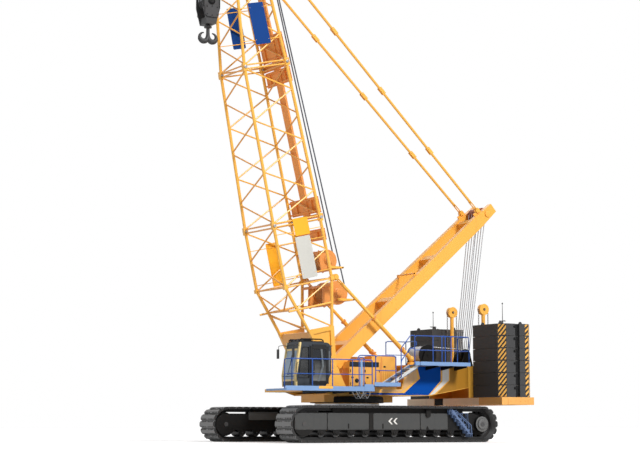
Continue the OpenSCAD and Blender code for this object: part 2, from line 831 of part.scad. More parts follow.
module cab_left_side() {
  color(grey) at_slew() {
    plate(cab_out - cab_t, cab_out) difference() {
      cab_profile(0);
      door_opening(0);
      side_window(0);
    }
    // Rail that the sliding door hangs on
    translate([cab_rear - 40, cab_out - eps, door_high + 62])
      cube([door_front - cab_rear + 100, 18 + eps, 40]);
  }
}

module cab_right_side() {
  color(grey) at_slew() plate(cab_in, cab_in + cab_t) difference() {
    cab_profile(0);
    side_window(0);
    door_opening(40);
  }
}

pane_t = 12;
module cab_glass() {
  mid = cab_t / 2;
  color(glassy) at_slew() {
    plate(cab_out - mid - pane_t / 2, cab_out - mid + pane_t / 2) side_window(seat);
    plate(cab_in + mid - pane_t / 2, cab_in + mid + pane_t / 2) {
      side_window(seat);
      door_opening(40 + seat);
    }
    plate(cab_in + cab_t + 60 + seat, cab_out - cab_t - 60 - seat) intersection() {
      difference() {
        cab_profile(mid - pane_t / 2);
        cab_profile(mid + pane_t / 2);
      }
      translate([cab_front - 700, floor_cut + 70 + seat])
        square([1400, roof_cut - floor_cut - 140 - 2 * seat]);
    }
    plate(cab_in + cab_t + 120 + seat, cab_out - cab_t - 120 - seat) intersection() {
      difference() {
        cab_profile(mid - pane_t / 2);
        cab_profile(mid + pane_t / 2);
      }
      translate([cab_rear - 200, cab_low + 760 + seat])
        square([400, roof_cut - cab_low - 860 - 2 * seat]);
    }
  }
}

module cab_seat() {
  x = cab_rear + 620;
  y = (cab_in + cab_out) / 2;
  z = cab_low + cab_t;
  color(black) at_slew() {
    translate([x - 180, y - 180, z]) cube([360, 360, 330]);
    translate([x - 260, y - 260, z + 329]) cube([520, 520, 130]);
    translate([x - 300, y - 250, z + 420]) rotate([0, -8, 0]) cube([120, 500, 640]);
    both_sides_about(y) translate([x - 200, y + 260 - eps, z + 329]) cube([480, 110, 260]);
  }
}

module both_sides_about(y) {
  children();
  translate([0, 2 * y, 0]) mirror([0, 1, 0]) children();
}

module cab_lamps() {
  color(black) at_slew() {
    translate([cab_rear + 340, cab_in + 30, cab_high]) cube([cab_l - 560, cab_w - 60, 45]);
    for (k = [0.14, 0.38, 0.62, 0.86])
      translate([cab_front - 320, cab_in + cab_w * k - 60, cab_high + 44.5]) cube([90, 120, 80]);
  }
}

module cab_door() {
  y0 = cab_out + door_gap;
  color(black) at_slew() {
    plate(y0, y0 + door_t) difference() {
      offset(delta = 45) door_opening(0);
      offset(delta = -70) door_opening(0);
    }
    // Hanger that hooks over the rail
    translate([door_rear + 60, y0 + 18, door_high + 40])
      cube([door_front - door_rear - 120, door_t - 18, 64]);
    translate([door_rear + 60, cab_out + door_gap, door_high + 102 + seat])
      cube([door_front - door_rear - 120, door_t, 20]);
  }
}

module cab_door_glass() {
  y = cab_out + door_gap + door_t / 2;
  color(glassy) at_slew() plate(y - pane_t / 2, y + pane_t / 2) offset(delta = -70 - seat) door_opening(0);
}

// Chord tubes with their end connectors on the left, between two stations
module chords(a, b) {
  low = station(a, b, a[0] + conn_l / 2);
  high = station(a, b, b[0] - conn_l / 2);
  for (f = [-1, 1]) {
    strut(corner(low, f, 1), corner(high, f, 1), chord_d, tube_fn);
    for (st = [low, high]) translate(corner(st, f, 1)) cube([conn_w, conn_w, conn_l], center = true);
  }
}

// Left side truss: chords and the zig-zag lacing between them
module side_truss(a, b, bays) {
  low = station(a, b, a[0] + conn_l / 2);
  high = station(a, b, b[0] - conn_l / 2);
  chords(a, b);
  for (st = [low, high]) strut(corner(st, -1, 1), corner(st, 1, 1), lace_d);
  for (i = [0:bays - 1]) {
    p = mix(low, high, i / bays);
    q = mix(low, high, (i + 1) / bays);
    turn = i % 2 == 0 ? 1 : -1;
    strut(corner(p, turn, 1), corner(q, -turn, 1), lace_d);
  }
}

// Lacing across the front and rear faces, cut off at the chords
lace_shift = 50;
module cross_lacing(a, b, bays, faces) {
  low = station(a, b, a[0] + conn_l / 2);
  high = station(a, b, b[0] - conn_l / 2);
  difference() {
    union() {
      for (st = [low, high], f = [-1, 1]) strut(corner(st, f, -1), corner(st, f, 1), lace_d);
      for (i = [0:bays - 1], f = faces) {
        p = station(a, b, mix(low, high, i / bays)[0] + lace_shift);
        q = station(a, b, mix(low, high, (i + 1) / bays)[0] - lace_shift);
        turn = i % 2 == 0 ? 1 : -1;
        strut(corner(p, f, turn), corner(q, f, -turn), lace_d);
      }
    }
    both_sides() chords(a, b);
  }
}

// Left side of the tapered foot: plate with the eye, and the chords above it
plate_low = 1750;
plate_k = plate_low / kink_s;
brace_k = 0.74;
brace_tip = 400;
brace_off = 60;
brace_top = 0.95;
module foot_plate() {
  difference() {
    plate(foot_y - eye_w / 2, foot_y + eye_w / 2) union() {
      circle(r = eye_r, $fn = round_fn);
      polygon([[-eye_r, 0], [eye_r * 0.8, -eye_r * 0.6], [front_1 * plate_k + 60, plate_low],
        [-rear_1 * plate_k - 60, plate_low]]);
    }
    axle(foot_pin_d / 2 + pin_gap, 4 * foot_y);
    plate(foot_y - eye_w, foot_y + eye_w)
      polygon([[-110, 620], [190, 620], [front_1 * plate_k - 130, plate_low - 150],
      [-rear_1 * plate_k + 130, plate_low - 150]]);
  }
  for (f = [front_1, -rear_1]) strut([f * plate_k, foot_y, plate_low - 60], [f, foot_y, kink_s], chord_d,
    tube_fn);
}

// Pipe along each side of the foot, which sticks out in front
module foot_brace() {
  brace_s = kink_s * brace_k;
  strut([-rear_1 * brace_k, foot_y, brace_s], [front_1 * brace_k + brace_tip, foot_y, brace_s],
    lace_d * 1.3);
}

module foot_side() {
  foot_plate();
  brace_s = kink_s * brace_k;
  strut([-rear_1 * plate_k, foot_y, plate_low], [front_1 * brace_k, foot_y, brace_s - brace_off], lace_d);
  strut([front_1 * brace_k, foot_y, brace_s + brace_off], [-rear_1, foot_y, kink_s], lace_d);
  foot_brace();
}

// Front plate and front brace between the two sides of the foot
foot_plate_t = 50;
foot_plate_h = 520;
module foot_cross() {
  inner = foot_y - eye_w / 2;
  brace_s = kink_s * brace_k;
  x = front_1 * brace_k;
  translate([front_1 * plate_k - foot_plate_t - 10, -inner, plate_low - foot_plate_h - 40])
    cube([foot_plate_t, 2 * inner, foot_plate_h]);
  difference() {
    union() {
      strut([x, -foot_y, brace_s], [x, foot_y, brace_s], lace_d);
      strut([x, -foot_y, brace_s - 2 * brace_off], [front_1 * plate_k, foot_y, plate_low + 40], lace_d);
      both_sides() strut([x, brace_off, brace_s], [front_1 * brace_top, foot_y, kink_s * brace_top],
        lace_d);
    }
    both_sides() {
      foot_plate();
      foot_brace();
    }
  }
}

kink_low_st = [kink_s - conn_l / 2, boom_w / 2, front_1, -rear_1];
butt_bays = 2;
module boom_butt() {
  color(yellow) at_boom() both_sides() {
    foot_side();
    side_truss(kink_low_st, joint1_st, butt_bays);
    plate(foot_y - 30, foot_y + 30) lug_outline([butt_lug_x, kink_s])
      translate([butt_lug_x, kink_s - 130]) square([130, 260]);
  }
}

// The rear face of the butt is open for the winches
module butt_lacing() {
  color(yellow) at_boom() {
    foot_cross();
    cross_lacing(kink_low_st, joint1_st, butt_bays, [1]);
  }
}

module boom_insert() {
  color(yellow) at_boom() both_sides() side_truss(joint1_st, joint2_st, insert_bays);
}

module insert_lacing() {
  color(yellow) at_boom() cross_lacing(joint1_st, joint2_st, insert_bays, [-1, 1]);
}

head_plate_t = 60;
jib_bore_r = 60;
module boom_head() {
  y = head_st[1];
  color(yellow) at_boom() difference() {
    both_sides() {
      side_truss(joint2_st, head_st, head_bays);
      plate(y - head_plate_t / 2, y + head_plate_t / 2)
        polygon([[-rear_3 - 75, head_s - 250], [front_3 + 90, head_s - 250],
        [sheave_x + 210, sheave_s - 240], [sheave_x + 210, sheave_s + 180],
          [sheave_x - 260, head_top - 150],
        [-260, head_top], [-rear_3 - 60, head_top - 300]]);
      // Lug for the pendant on the rear chord
      plate(y - 30, y + 30) lug_outline([pendant_lug_x, pendant_s])
        translate([pendant_lug_x, pendant_s - 110]) square([190, 220]);
    }
    translate([sheave_x, 0, sheave_s]) axle(110 + pin_gap, 4 * y);
    // Bores that a jib foot is pinned to
    translate([-40, 0, head_top - 480]) axle(jib_bore_r, 4 * y);
  }
}

// Lacing of the head section and the round spreaders between the head plates
spreader_r = 80;
module head_lacing() {
  inner = head_st[1] - head_plate_t / 2;
  color(yellow) at_boom() {
    cross_lacing(joint2_st, head_st, head_bays, [-1, 1]);
    for (p = [[-rear_3 + 60, head_top - 520], [120, head_top - 180], [front_3, head_s + spreader_r + 10]])
      translate([p[0], 0, p[1]]) axle(spreader_r, 2 * inner);
  }
}

catwalk_w = 460;
catwalk_t = 30;
module boom_catwalk() {
  lift = conn_w / 2 + seat;
  color(orange) at_boom() for (pair = [[joint1_st, joint2_st], [joint2_st, head_st]]) {
    a = station(pair[0], pair[1], pair[0][0] + conn_l / 2);
    b = station(pair[0], pair[1], pair[1][0] - conn_l / 2);
    plate(-catwalk_w / 2, catwalk_w / 2)
      polygon([[a[3] - lift, a[0]], [b[3] - lift, b[0]], [b[3] - lift - catwalk_t, b[0]],
      [a[3] - lift - catwalk_t, a[0]]]);
    for (st = [a, b]) translate([st[3] - lift - catwalk_t, -st[1] - conn_w / 2, st[0] - conn_l / 2])
      cube([catwalk_t, 2 * st[1] + conn_w, conn_l]);
  }
}

// Rear chord's place across the boom in the butt
function butt_rear(s) = -rear_1 * min(1, s / kink_s);

lower_stand = 660;
lower_drum_r = 400;
upper_stand = 350;
upper_drum_r = 350;
winch_beam_r = 55;
winch_l = 980;
winch_down = 645;
winch_up = 700;
winch_beam_s = 370;
winch_flange = 80;
module boom_winch(s, stand, r) {
  l = winch_l;
  reach = foot_y - chord_d / 2 - seat;
  axis = [butt_rear(s) - stand, s];
  beams = [for (k = [-1, 1]) [butt_rear(s + k * winch_beam_s), s + k * winch_beam_s]];
  color(orange) at_boom() {
    for (p = beams) translate([p[0], 0, p[1]]) axle(winch_beam_r, 2 * reach);
    both_sides() plate(l / 2 + 40, l / 2 + 100)
      polygon([beams[0] - [0, 90], beams[0] + [60, 0], beams[1] + [60, 0],
      beams[1] + [0, 90], axis + [-120, 160], axis + [-120, -160]]);
    translate([axis[0], 0, axis[1]]) {
      drum(r, r + winch_flange, l);
      axle(80, l + 260);
    }
  }
}
module lower_winch() { boom_winch(kink_s - winch_down, lower_stand, lower_drum_r); }
module upper_winch() { boom_winch(kink_s + winch_up, upper_stand, upper_drum_r); }

// Fork with a pin round a lug at p, its two cheeks running along dir
fork_half = 68;
module fork_end(p, dir, l) {
  translate(p) {
    axle(pendant_lug_d / 2, 2 * fork_half + 46);
    for (s = [-1, 1]) translate([0, s * fork_half, 0]) axle(95, 30);
  }
  for (s = [-1, 1]) strut(p + [0, s * fork_half, 0], p + [0, s * fork_half, 0] + dir * l, 60, 4);
}

// Lug plate outline with a bore at p, 130 round it
module lug_outline(p) {
  difference() {
    union() {
      translate(p) circle(r = 130, $fn = round_fn);
      children();
    }
    translate(p) circle(r = pendant_lug_d / 2 + pin_gap, $fn = round_fn);
  }
}

// Pendant bars from the mast head to the lugs behind the boom head
module pendants() {
  top = boom_pt([pendant_lug_x, head_st[1], pendant_s]);
  low = mast_pt([pendant_q, mast_w2 / 2, pendant_m]);
  dir = (top - low) / norm(top - low);
  color(yellow) at_slew() both_sides() {
    fork_end(low, [dir.x, 0, dir.z], 520);
    fork_end(top, -[dir.x, 0, dir.z], 520);
    strut(low + dir * 430, top - dir * 430, 110, 8);
  }
}

// Two-stage tubes between lugs on the butt and seats on the turntable
module backstops() {
  p = boom_pt([butt_lug_x, backstop_y, kink_s]);
  q = [backstop_seat[0], backstop_y, backstop_seat[1]];
  dir = (q - p) / norm(q - p);
  l = norm(q - p);
  color(yellow) at_slew() both_sides() {
    fork_end(p, dir, 420);
    strut(p + dir * 330, p + dir * (l * 0.5 + 60), backstop_d * 0.75, 16);
    strut(p + dir * l * 0.5, q, backstop_d, 16);
    translate(q) sphere(r = backstop_ball_r, $fn = 32);
  }
}

module mast() {
  leg = mast_leg_t;
  color(yellow) at_mast() difference() {
    union() {
      both_sides() {
        plate(mast_foot_y - eye_w / 2, mast_foot_y + eye_w / 2) union() {
          circle(r = eye_r, $fn = round_fn);
          translate([-eye_r * 0.8, 0]) square([eye_r * 1.6, 700]);
        }
        // Leg leans in towards the head
        lean = atan2(mast_w / 2 - mast_w2 / 2, mast_l - 1400);
        translate([0, mast_foot_y, 500]) rotate([lean, 0, 0])
          translate([-mast_leg_d / 2, -leg / 2, 0]) cube([mast_leg_d, leg, (mast_l - 1400) / cos(lean)]);
        plate(mast_w2 / 2 - leg / 2, mast_w2 / 2 + leg / 2)
          polygon([[-mast_leg_d / 2, mast_l - 1000], [mast_nose - mast_leg_d / 2, mast_l],
            [mast_leg_d / 2 - mast_nose, mast_l], [mast_leg_d / 2, mast_l - 1000]]);
        plate(mast_w2 / 2 - 30, mast_w2 / 2 + 30) lug_outline([pendant_q, pendant_m])
          translate([0, pendant_m - 260]) square([pendant_q, 390]);
      }
      for (m = [1500, 4300, 7100]) translate([-mast_leg_d / 2 + 60, -mast_w / 2 + 60, m])
        cube([mast_leg_d - 120, mast_w - 120, 260]);
      translate([-mast_leg_d / 2 + 60, -mast_w2 / 2, mast_l - 1260])
        cube([mast_leg_d - 120, mast_w2, 220]);
    }
    axle(foot_pin_d / 2 + pin_gap, 4 * mast_w);
    translate([0, 0, mast_sheave_m]) axle(75 + pin_gap, 4 * mast_w);
  }
}

mast_sheave_r = 290;
module mast_sheaves() {
  color(maroon) at_mast() translate([0, 0, mast_sheave_m]) {
    for (i = [0:5]) translate([0, (i - 2.5) * 120, 0]) axle(mast_sheave_r, 70);
    axle(75, mast_w2 + mast_leg_t + 60);
  }
}

function sheave_y(i) = (i - (sheave_n - 1) / 2) * sheave_step;

// A sheave with a round rope groove in its rim
module sheave(r, w) {
  rotate([90, 0, 0]) rotate_extrude($fn = round_fn) difference() {
    translate([0, -w / 2]) square([r, w]);
    translate([r - groove_in + groove_r, 0]) circle(r = groove_r, $fn = 24);
  }
}

module head_sheaves() {
  y = head_st[1] - head_plate_t / 2;
  color(maroon) at_slew() translate(head_axis) {
    for (i = [0:sheave_n - 1]) translate([0, sheave_y(i), 0]) sheave(sheave_r, 80);
    axle(110, 2 * y + 200);
  }
}

module hoist_ropes() {
  low = block_axle_z;
  color(steel) at_slew() for (i = [0:sheave_n - 1], f = [-1, 1])
    translate([head_axis.x + f * fall_x, sheave_y(i), low])
      cylinder(d = rope_d, h = head_axis.z - low, $fn = 16);
}

module hook_block() {
  half = block_w / 2;
  color(black) at_slew() translate([head_axis.x, 0, 0]) {
    for (i = [0:sheave_n - 1]) translate([0, sheave_y(i), block_axle_z]) sheave(sheave_r, 80);
    translate([0, 0, block_axle_z]) axle(80, block_w + 40);
    both_sides() plate(half - 40, half)
      polygon([[-block_half, block_axle_z + 250], [-250, block_high], [250, block_high],
        [block_half, block_axle_z + 250],
      [block_half, block_axle_z - 280], [200, block_low + 120],
        [-200, block_low + 120], [-block_half, block_axle_z - 280]]);
    translate([-200, -half, block_low + 120]) cube([400, block_w, 260]);
  }
}

module ramshorn_hook() {
  horn_r = 170;
  tube = 62;
  color(grey) at_slew() translate([head_axis.x, 0, hook_low + tube + horn_r]) {
    both_sides_x() translate([horn_r - tube / 2, 0, 0]) rotate([90, 0, 0]) {
      rotate([0, 0, 180]) rotate_extrude(angle = 215, $fn = round_fn) translate([horn_r, 0])
        circle(r = tube, $fn = 24);
      rotate([0, 0, 35]) translate([horn_r, 0, 0]) sphere(r = tube + 8, $fn = 24);
    }
    cylinder(r = tube * 1.15, h = block_low + 120 - seat - hook_low - tube - horn_r, $fn = round_fn);
    translate([0, 0, block_low + 120 - seat - hook_low - tube - horn_r - 60])
      cylinder(r = 150, h = 60, $fn = round_fn);
  }
}

module both_sides_x() {
  children();
  mirror([1, 0, 0]) children();
}

track_left();
track_right();
side_frame_left();
side_frame_right();
idlers();
sprockets();
lower_rollers();
carrier_rollers();
carbody();
slewing_ring();
access_steps();
turntable_frame();
foot_pins();
machinery_housing();
engine_housing();
engine_block();
walkways();
railings();
platform_ladder();
counterweight_tray();
counterweight_left();
counterweight_right();
lifting_posts();
luffing_winch();
luffing_block();
cab_floor();
cab_left_side();
cab_right_side();
cab_front_wall();
cab_rear_wall();
cab_roof();
cab_glass();
cab_seat();
cab_lamps();
cab_door();
cab_door_glass();
boom_butt();
butt_lacing();
boom_insert();
insert_lacing();
boom_head();
head_lacing();
boom_catwalk();
lower_winch();
upper_winch();
pendants();
backstops();
mast();
mast_sheaves();
head_sheaves();
hoist_ropes();
hook_block();
ramshorn_hook();
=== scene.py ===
import bpy, bmesh, math
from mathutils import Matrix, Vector


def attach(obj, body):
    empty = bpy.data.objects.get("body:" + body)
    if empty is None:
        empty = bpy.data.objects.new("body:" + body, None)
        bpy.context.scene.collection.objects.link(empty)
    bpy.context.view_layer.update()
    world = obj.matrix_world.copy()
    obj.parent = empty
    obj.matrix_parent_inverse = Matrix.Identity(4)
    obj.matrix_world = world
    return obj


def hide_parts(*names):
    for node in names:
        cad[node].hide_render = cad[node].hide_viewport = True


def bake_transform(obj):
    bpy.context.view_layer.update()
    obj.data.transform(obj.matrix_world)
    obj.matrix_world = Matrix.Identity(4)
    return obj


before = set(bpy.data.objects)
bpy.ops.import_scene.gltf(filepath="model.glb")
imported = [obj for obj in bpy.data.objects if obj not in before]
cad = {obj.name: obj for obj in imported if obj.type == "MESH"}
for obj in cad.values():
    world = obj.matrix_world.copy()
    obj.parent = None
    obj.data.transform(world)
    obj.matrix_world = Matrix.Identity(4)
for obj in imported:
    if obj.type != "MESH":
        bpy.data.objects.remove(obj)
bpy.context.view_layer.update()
print("frame loaded:", len(cad), "nodes")

# Places on the crane, all in metres
slewX = 0.132335
footPin = Vector((slewX + 1.41, 0, 2.73))
boomTilt = math.radians(12.7)
mastTilt = math.radians(49.5)
sides = (1, -1)
upward = (0, 0, 1)
across = (0, 1, 0)


def onDeck(x, y, z):  # measured from the slewing axis
    return Vector((x + slewX, y, z))


def onBoom(x, y, s):  # x to the boom's front, s along it from the foot pin
    return footPin + Vector((x * math.cos(boomTilt) + s * math.sin(boomTilt), y,
                             -x * math.sin(boomTilt) + s * math.cos(boomTilt)))


def onMast(x, y, m):  # x to the mast's upper side, m along it from the foot pin
    return footPin + Vector((x * math.cos(mastTilt) - m * math.sin(mastTilt), y,
                             x * math.sin(mastTilt) + m * math.cos(mastTilt)))


def deckPath(y, *points):  # pairs of x and z in one upright plane
    return [onDeck(x, y, z) for x, z in points]


def mixed(a, b, k):
    return Vector(a) + (Vector(b) - Vector(a)) * k


def spread(a, b, count):  # even places from a to b
    return [a + (b - a) * i / (count - 1) for i in range(count)]


def circle(count, radius=1.0, start=0.0):  # even places round a circle, as pairs
    turns = [start + 2 * math.pi * i / count for i in range(count)]
    return [(radius * math.cos(t), radius * math.sin(t)) for t in turns]


def corners(x0, z0, x1, z1, cut):  # outline of a plate with its corners cut
    return [(x0 + cut, z0), (x1 - cut, z0), (x1, z0 + cut), (x1, z1 - cut),
            (x1 - cut, z1), (x0 + cut, z1), (x0, z1 - cut), (x0, z0 + cut)]


def oblong(u, v):  # outline from two half widths
    return ((-u, -v), (u, -v), (u, v), (-u, v))


# Camera at the photo's place, close to the ground
view = {"at": (36.6838, 59.7964, 0.60), "along": (-0.50509, -0.85546, 0.11435), "lens": 98.09}
camera = bpy.data.objects.new("camera", bpy.data.cameras.new("camera"))
camera.location = view["at"]
camera.rotation_euler = Vector(view["along"]).to_track_quat("-Z", "Y").to_euler()
camera.data.lens = view["lens"]
camera.data.sensor_width = 36
camera.data.clip_end = 600
bpy.context.scene.collection.objects.link(camera)
bpy.context.scene.camera = camera
bpy.context.scene.view_settings.view_transform = "Standard"
print("camera set")


# Shader maths: a wire is a node's output, and sums of wires add Math nodes
class Wire:
    def __init__(self, tree, socket):
        self.tree = tree
        self.socket = socket

    def sum(self, how, a, b):
        node = self.tree.nodes.new("ShaderNodeMath")
        node.operation = how
        for k, value in enumerate((a, b)):
            if isinstance(value, Wire):
                self.tree.links.new(value.socket, node.inputs[k])
            else:
                node.inputs[k].default_value = value
        return Wire(self.tree, node.outputs[0])

    def __add__(self, other): return self.sum("ADD", self, other)
    def __radd__(self, other): return self.sum("ADD", other, self)
    def __sub__(self, other): return self.sum("SUBTRACT", self, other)
    def __rsub__(self, other): return self.sum("SUBTRACT", other, self)
    def __mul__(self, other): return self.sum("MULTIPLY", self, other)
    def __gt__(self, other): return self.sum("GREATER_THAN", self, other)
    def __mod__(self, other): return self.sum("FLOORED_MODULO", self, other)
    def least(self, other): return self.sum("MINIMUM", self, other)
    def most(self, other): return self.sum("MAXIMUM", self, other)
    def held(self): return self.least(1.0).most(0.0)


class Finish:
    def __init__(self, name, **fixed):
        self.material = bpy.data.materials.new(name)
        self.material.use_nodes = True
        self.tree = self.material.node_tree
        self.shader = self.tree.nodes["Principled BSDF"]
        for socket, value in fixed.items():
            self.shader.inputs[socket.replace("_", " ")].default_value = value
        self.place = self.node("ShaderNodeTexCoord", out="Object")

    def node(self, kind, settings=None, values=None, out=0):
        node = self.tree.nodes.new(kind)
        for key, value in (settings or {}).items():
            setattr(node, key, value)
        for key, value in (values or {}).items():
            if isinstance(value, Wire):
                self.tree.links.new(value.socket, node.inputs[key])
            else:
                node.inputs[key].default_value = value
        return Wire(self.tree, node.outputs[out])

    def noise(self, scale, detail=3.0, stretch=None):
        place = self.place
        if stretch:
            place = self.node("ShaderNodeMapping", None, {"Vector": place, "Scale": stretch})
        return self.node("ShaderNodeTexNoise", None, {"Vector": place, "Scale": scale, "Detail": detail})

    def mix(self, share, a, b):
        return self.node("ShaderNodeMix", {"data_type": "RGBA"}, {0: share, 6: a, 7: b}, out=2)

    def axis(self, name):
        return self.node("ShaderNodeSeparateXYZ", None, {0: self.place}, out="XYZ".index(name))

    def edges(self, radius):  # 0 on flats, up to 1 along worn edges
        soft = self.node("ShaderNodeBevel", {"samples": 4}, {"Radius": radius})
        hard = self.node("ShaderNodeNewGeometry", out="Normal")
        along = self.node("ShaderNodeVectorMath", {"operation": "DOT_PRODUCT"}, {0: soft, 1: hard}, out="Value")
        return ((1.0 - along) * 5.0).held()

    def feed(self, socket, wire):
        self.tree.links.new(wire.socket, self.shader.inputs[socket])

    def bump(self, height, strength, depth):
        self.feed("Normal", self.node("ShaderNodeBump", None,
                                      {"Strength": strength, "Distance": depth, "Height": height}))


def rgb(r, g, b):  # screen colour to the shader's linear colour
    line = [c / 12.92 if c <= 0.04045 else ((c + 0.055) / 1.055) ** 2.4 for c in (r / 255, g / 255, b / 255)]
    return (*line, 1.0)


def shade(colour, k):
    return (*[min(1.0, c * k) for c in colour[:3]], 1.0)


# Sprayed paint with faded patches, rain streaks, road dust low down and bare edges
def sprayed(name, colour, rough=0.4, chip=None, dust=0.35, streak=0.3, wear=0.25, coat=0.15, gloss=0.5):
    f = Finish(name, Roughness=rough, Coat_Weight=coat, Coat_Roughness=0.25, Specular_IOR_Level=gloss)
    broad = f.noise(0.45, 5.0)
    fine = f.noise(11.0, 4.0)
    runs = f.noise(1.6, 6.0, (4.0, 4.0, 0.3))
    low = (1.0 - f.axis("Z") * 0.42).held()
    tone = f.mix((broad * 1.6 - 0.3).held(), colour, shade(colour, 0.86))
    tone = f.mix(((runs - 0.56) * 4.0).held() * streak, tone, shade(colour, 0.55))
    dusty = ((fine + broad - 0.75) * 1.4).held() * low * dust
    tone = f.mix(dusty, tone, rgb(128, 116, 100))
    worn = f.edges(0.025) * ((fine - 0.42) * 4.0).held() * wear
    f.feed("Base Color", f.mix(worn, tone, chip or shade(colour, 0.42)))
    f.feed("Roughness", (rough + (fine - 0.5) * 0.22 + dusty * 0.35 + worn * 0.2).held())
    f.bump(f.noise(38.0, 2.0), 0.12, 0.004)
    return f.material


# Bare or blackened steel: rolled, cast or polished by running; front adds a painted highlight on faces turned to +X
def bareMetal(name, colour, rough=0.45, metal=0.8, rust=0.15, grain=30.0, depth=0.006, dust=0.2, front=0.0):
    f = Finish(name, Roughness=rough, Metallic=metal)
    broad = f.noise(1.3, 5.0)
    fine = f.noise(grain, 4.0)
    low = (1.0 - f.axis("Z") * 0.6).held()
    tone = f.mix(broad, shade(colour, 1.25), shade(colour, 0.72))
    tone = f.mix(((broad + fine - 1.02) * 4.0).held() * rust, tone, rgb(112, 72, 46))
    dusty = ((fine - 0.35) * 1.6).held() * low * dust
    tone = f.mix(dusty, tone, rgb(120, 110, 96))
    if front:  # painted highlight: faces turned towards +X are painted pale grey, as though lit
        highlightFacing = f.node("ShaderNodeSeparateXYZ", None, {0: f.node("ShaderNodeNewGeometry", out="Normal")}, out=0)
        tone = f.mix(((highlightFacing - 0.2) * 1.6).held() * front, tone, rgb(150, 150, 150))
    shine = f.edges(0.02) * (fine * 1.5).held()
    f.feed("Base Color", f.mix(shine * 0.3, tone, shade(colour, 2.2)))
    f.feed("Roughness", (rough + (fine - 0.5) * 0.3 + dusty * 0.3).held())
    f.bump(fine, 0.35, depth)
    return f.material


# Laid wire rope: strands run round at a slant
def wireRope(name, colour, lay=34.0):
    f = Finish(name, Roughness=0.42, Metallic=0.75)
    strand = (f.axis("Z") * lay + f.axis("X") * lay * 2.2 + f.axis("Y") * lay * 2.2) % 1.0
    groove = (1.0 - (strand - 0.5) * (strand - 0.5) * 4.0).held()
    oily = f.noise(2.0, 4.0)
    # painted shade: the colour is darkened between the strands, where the lay grooves fall
    tone = f.mix(groove, shade(colour, 0.72), colour)
    f.feed("Base Color", f.mix(((oily - 0.5) * 2.0).held() * 0.5, tone, shade(colour, 0.4)))
    f.feed("Roughness", 0.3 + oily * 0.3)
    f.bump(groove, 0.6, 0.004)
    return f.material


# Slanting black and yellow bars
def hazardBars(name, lean, pitch=0.21):
    f = Finish(name, Roughness=0.45)
    bar = ((f.axis("Z") + f.axis("X") * 0.9 + f.axis("Y") * (0.9 * lean)) * (1 / pitch)) % 1.0 > 0.50
    fade = f.noise(2.4, 5.0)
    scuff = ((f.noise(17.0, 5.0) - 0.6) * 6.0).held()
    tone = f.mix(bar, rgb(26, 18, 12), f.mix(fade, rgb(236, 180, 84), rgb(214, 154, 56)))
    f.feed("Base Color", f.mix(scuff * 0.4, tone, rgb(70, 66, 60)))
    f.feed("Roughness", 0.38 + fade * 0.2 + scuff * 0.2)
    return f.material


# Tinted pane with a trace of dust towards its lower rim
def pane(name, tint, alpha, floor):
    f = Finish(name, Roughness=0.06, IOR=1.5, Specular_IOR_Level=0.35)
    film = f.noise(3.0, 4.0)
    rim = (1.0 - (f.axis("Z") - floor) * 1.2).held()
    f.feed("Base Color", f.mix(film * rim, tint, rgb(150, 150, 145)))
    f.feed("Roughness", 0.05 + film * rim * 0.25)
    f.feed("Alpha", (alpha + film * 0.06 + rim * 0.05).held())
    return f.material


# Cab panes: dark at the sides and rear, and painted pale blue-grey in the front as a painted reflection
def cabPane(name, side, front):
    f = Finish(name, Roughness=0.06, IOR=1.5, Specular_IOR_Level=0.35)
    film = f.noise(3.0, 4.0)
    ahead = (f.axis("X") > slewX + 3.52) * (1.0 - (f.axis("Y") > 2.372)) * (f.axis("Y") > 1.43)
    tone = f.mix(ahead, side, front)
    f.feed("Base Color", f.mix(film * 0.2, tone, rgb(150, 150, 145)))
    f.feed("Roughness", 0.05 + film * 0.08)
    f.feed("Alpha", (0.84 + film * 0.08 - ahead * 0.06).held())
    return f.material


# Woven seat cloth
def wovenCloth(name, colour, count=420.0):
    f = Finish(name, Roughness=0.9, Sheen_Weight=0.3)
    over = ((f.axis("X") + f.axis("Z")) * count) % 1.0
    weft = (f.axis("Y") * count) % 1.0
    weave = ((over > 0.5) + (weft > 0.5)) * 0.5
    worn = f.noise(6.0, 4.0)
    f.feed("Base Color", f.mix(weave * 0.4 + worn * 0.3, colour, shade(colour, 1.9)))
    f.feed("Roughness", 0.8 + worn * 0.15)
    f.bump(weave, 0.4, 0.001)
    return f.material


# Chequered tread plate: raised bars turned this way and that
def treadPlate(name, colour):
    f = Finish(name, Roughness=0.5, Metallic=0.1)
    one = ((f.axis("X") + f.axis("Y")) * 18.0) % 1.0 > 0.7
    two = ((f.axis("X") - f.axis("Y")) * 18.0) % 1.0 > 0.7
    bars = one.most(two)
    wear = f.noise(5.0, 5.0)
    tone = f.mix(bars * wear, colour, shade(colour, 1.5))
    f.feed("Base Color", f.mix(((wear - 0.55) * 3.0).held() * 0.5, tone, rgb(120, 116, 108)))
    f.feed("Roughness", 0.42 + wear * 0.25)
    f.bump(bars, 0.5, 0.004)
    return f.material


yellowPaint = sprayed("yellowPaint", rgb(250, 184, 70), wear=0.10)
mastPaint = sprayed("mastPaint", rgb(250, 178, 68), wear=0.04)
housingPaint = sprayed("housingPaint", rgb(240, 172, 72), dust=0.15)
orangePaint = sprayed("orangePaint", rgb(226, 146, 66), rough=0.45)
# painted shade: the lacing takes a darker copy of the boom's yellow
shadedLacingPaint = sprayed("shadedLacingPaint", rgb(236, 164, 66), wear=0.10)
# painted shade: darker gold for the rear of the turntable's side plate
paintedShadeGold = sprayed("paintedShadeGold", rgb(172, 120, 34), dust=0.2, gloss=0.3)
trayPaint = sprayed("trayPaint", rgb(238, 172, 88), dust=0.1)
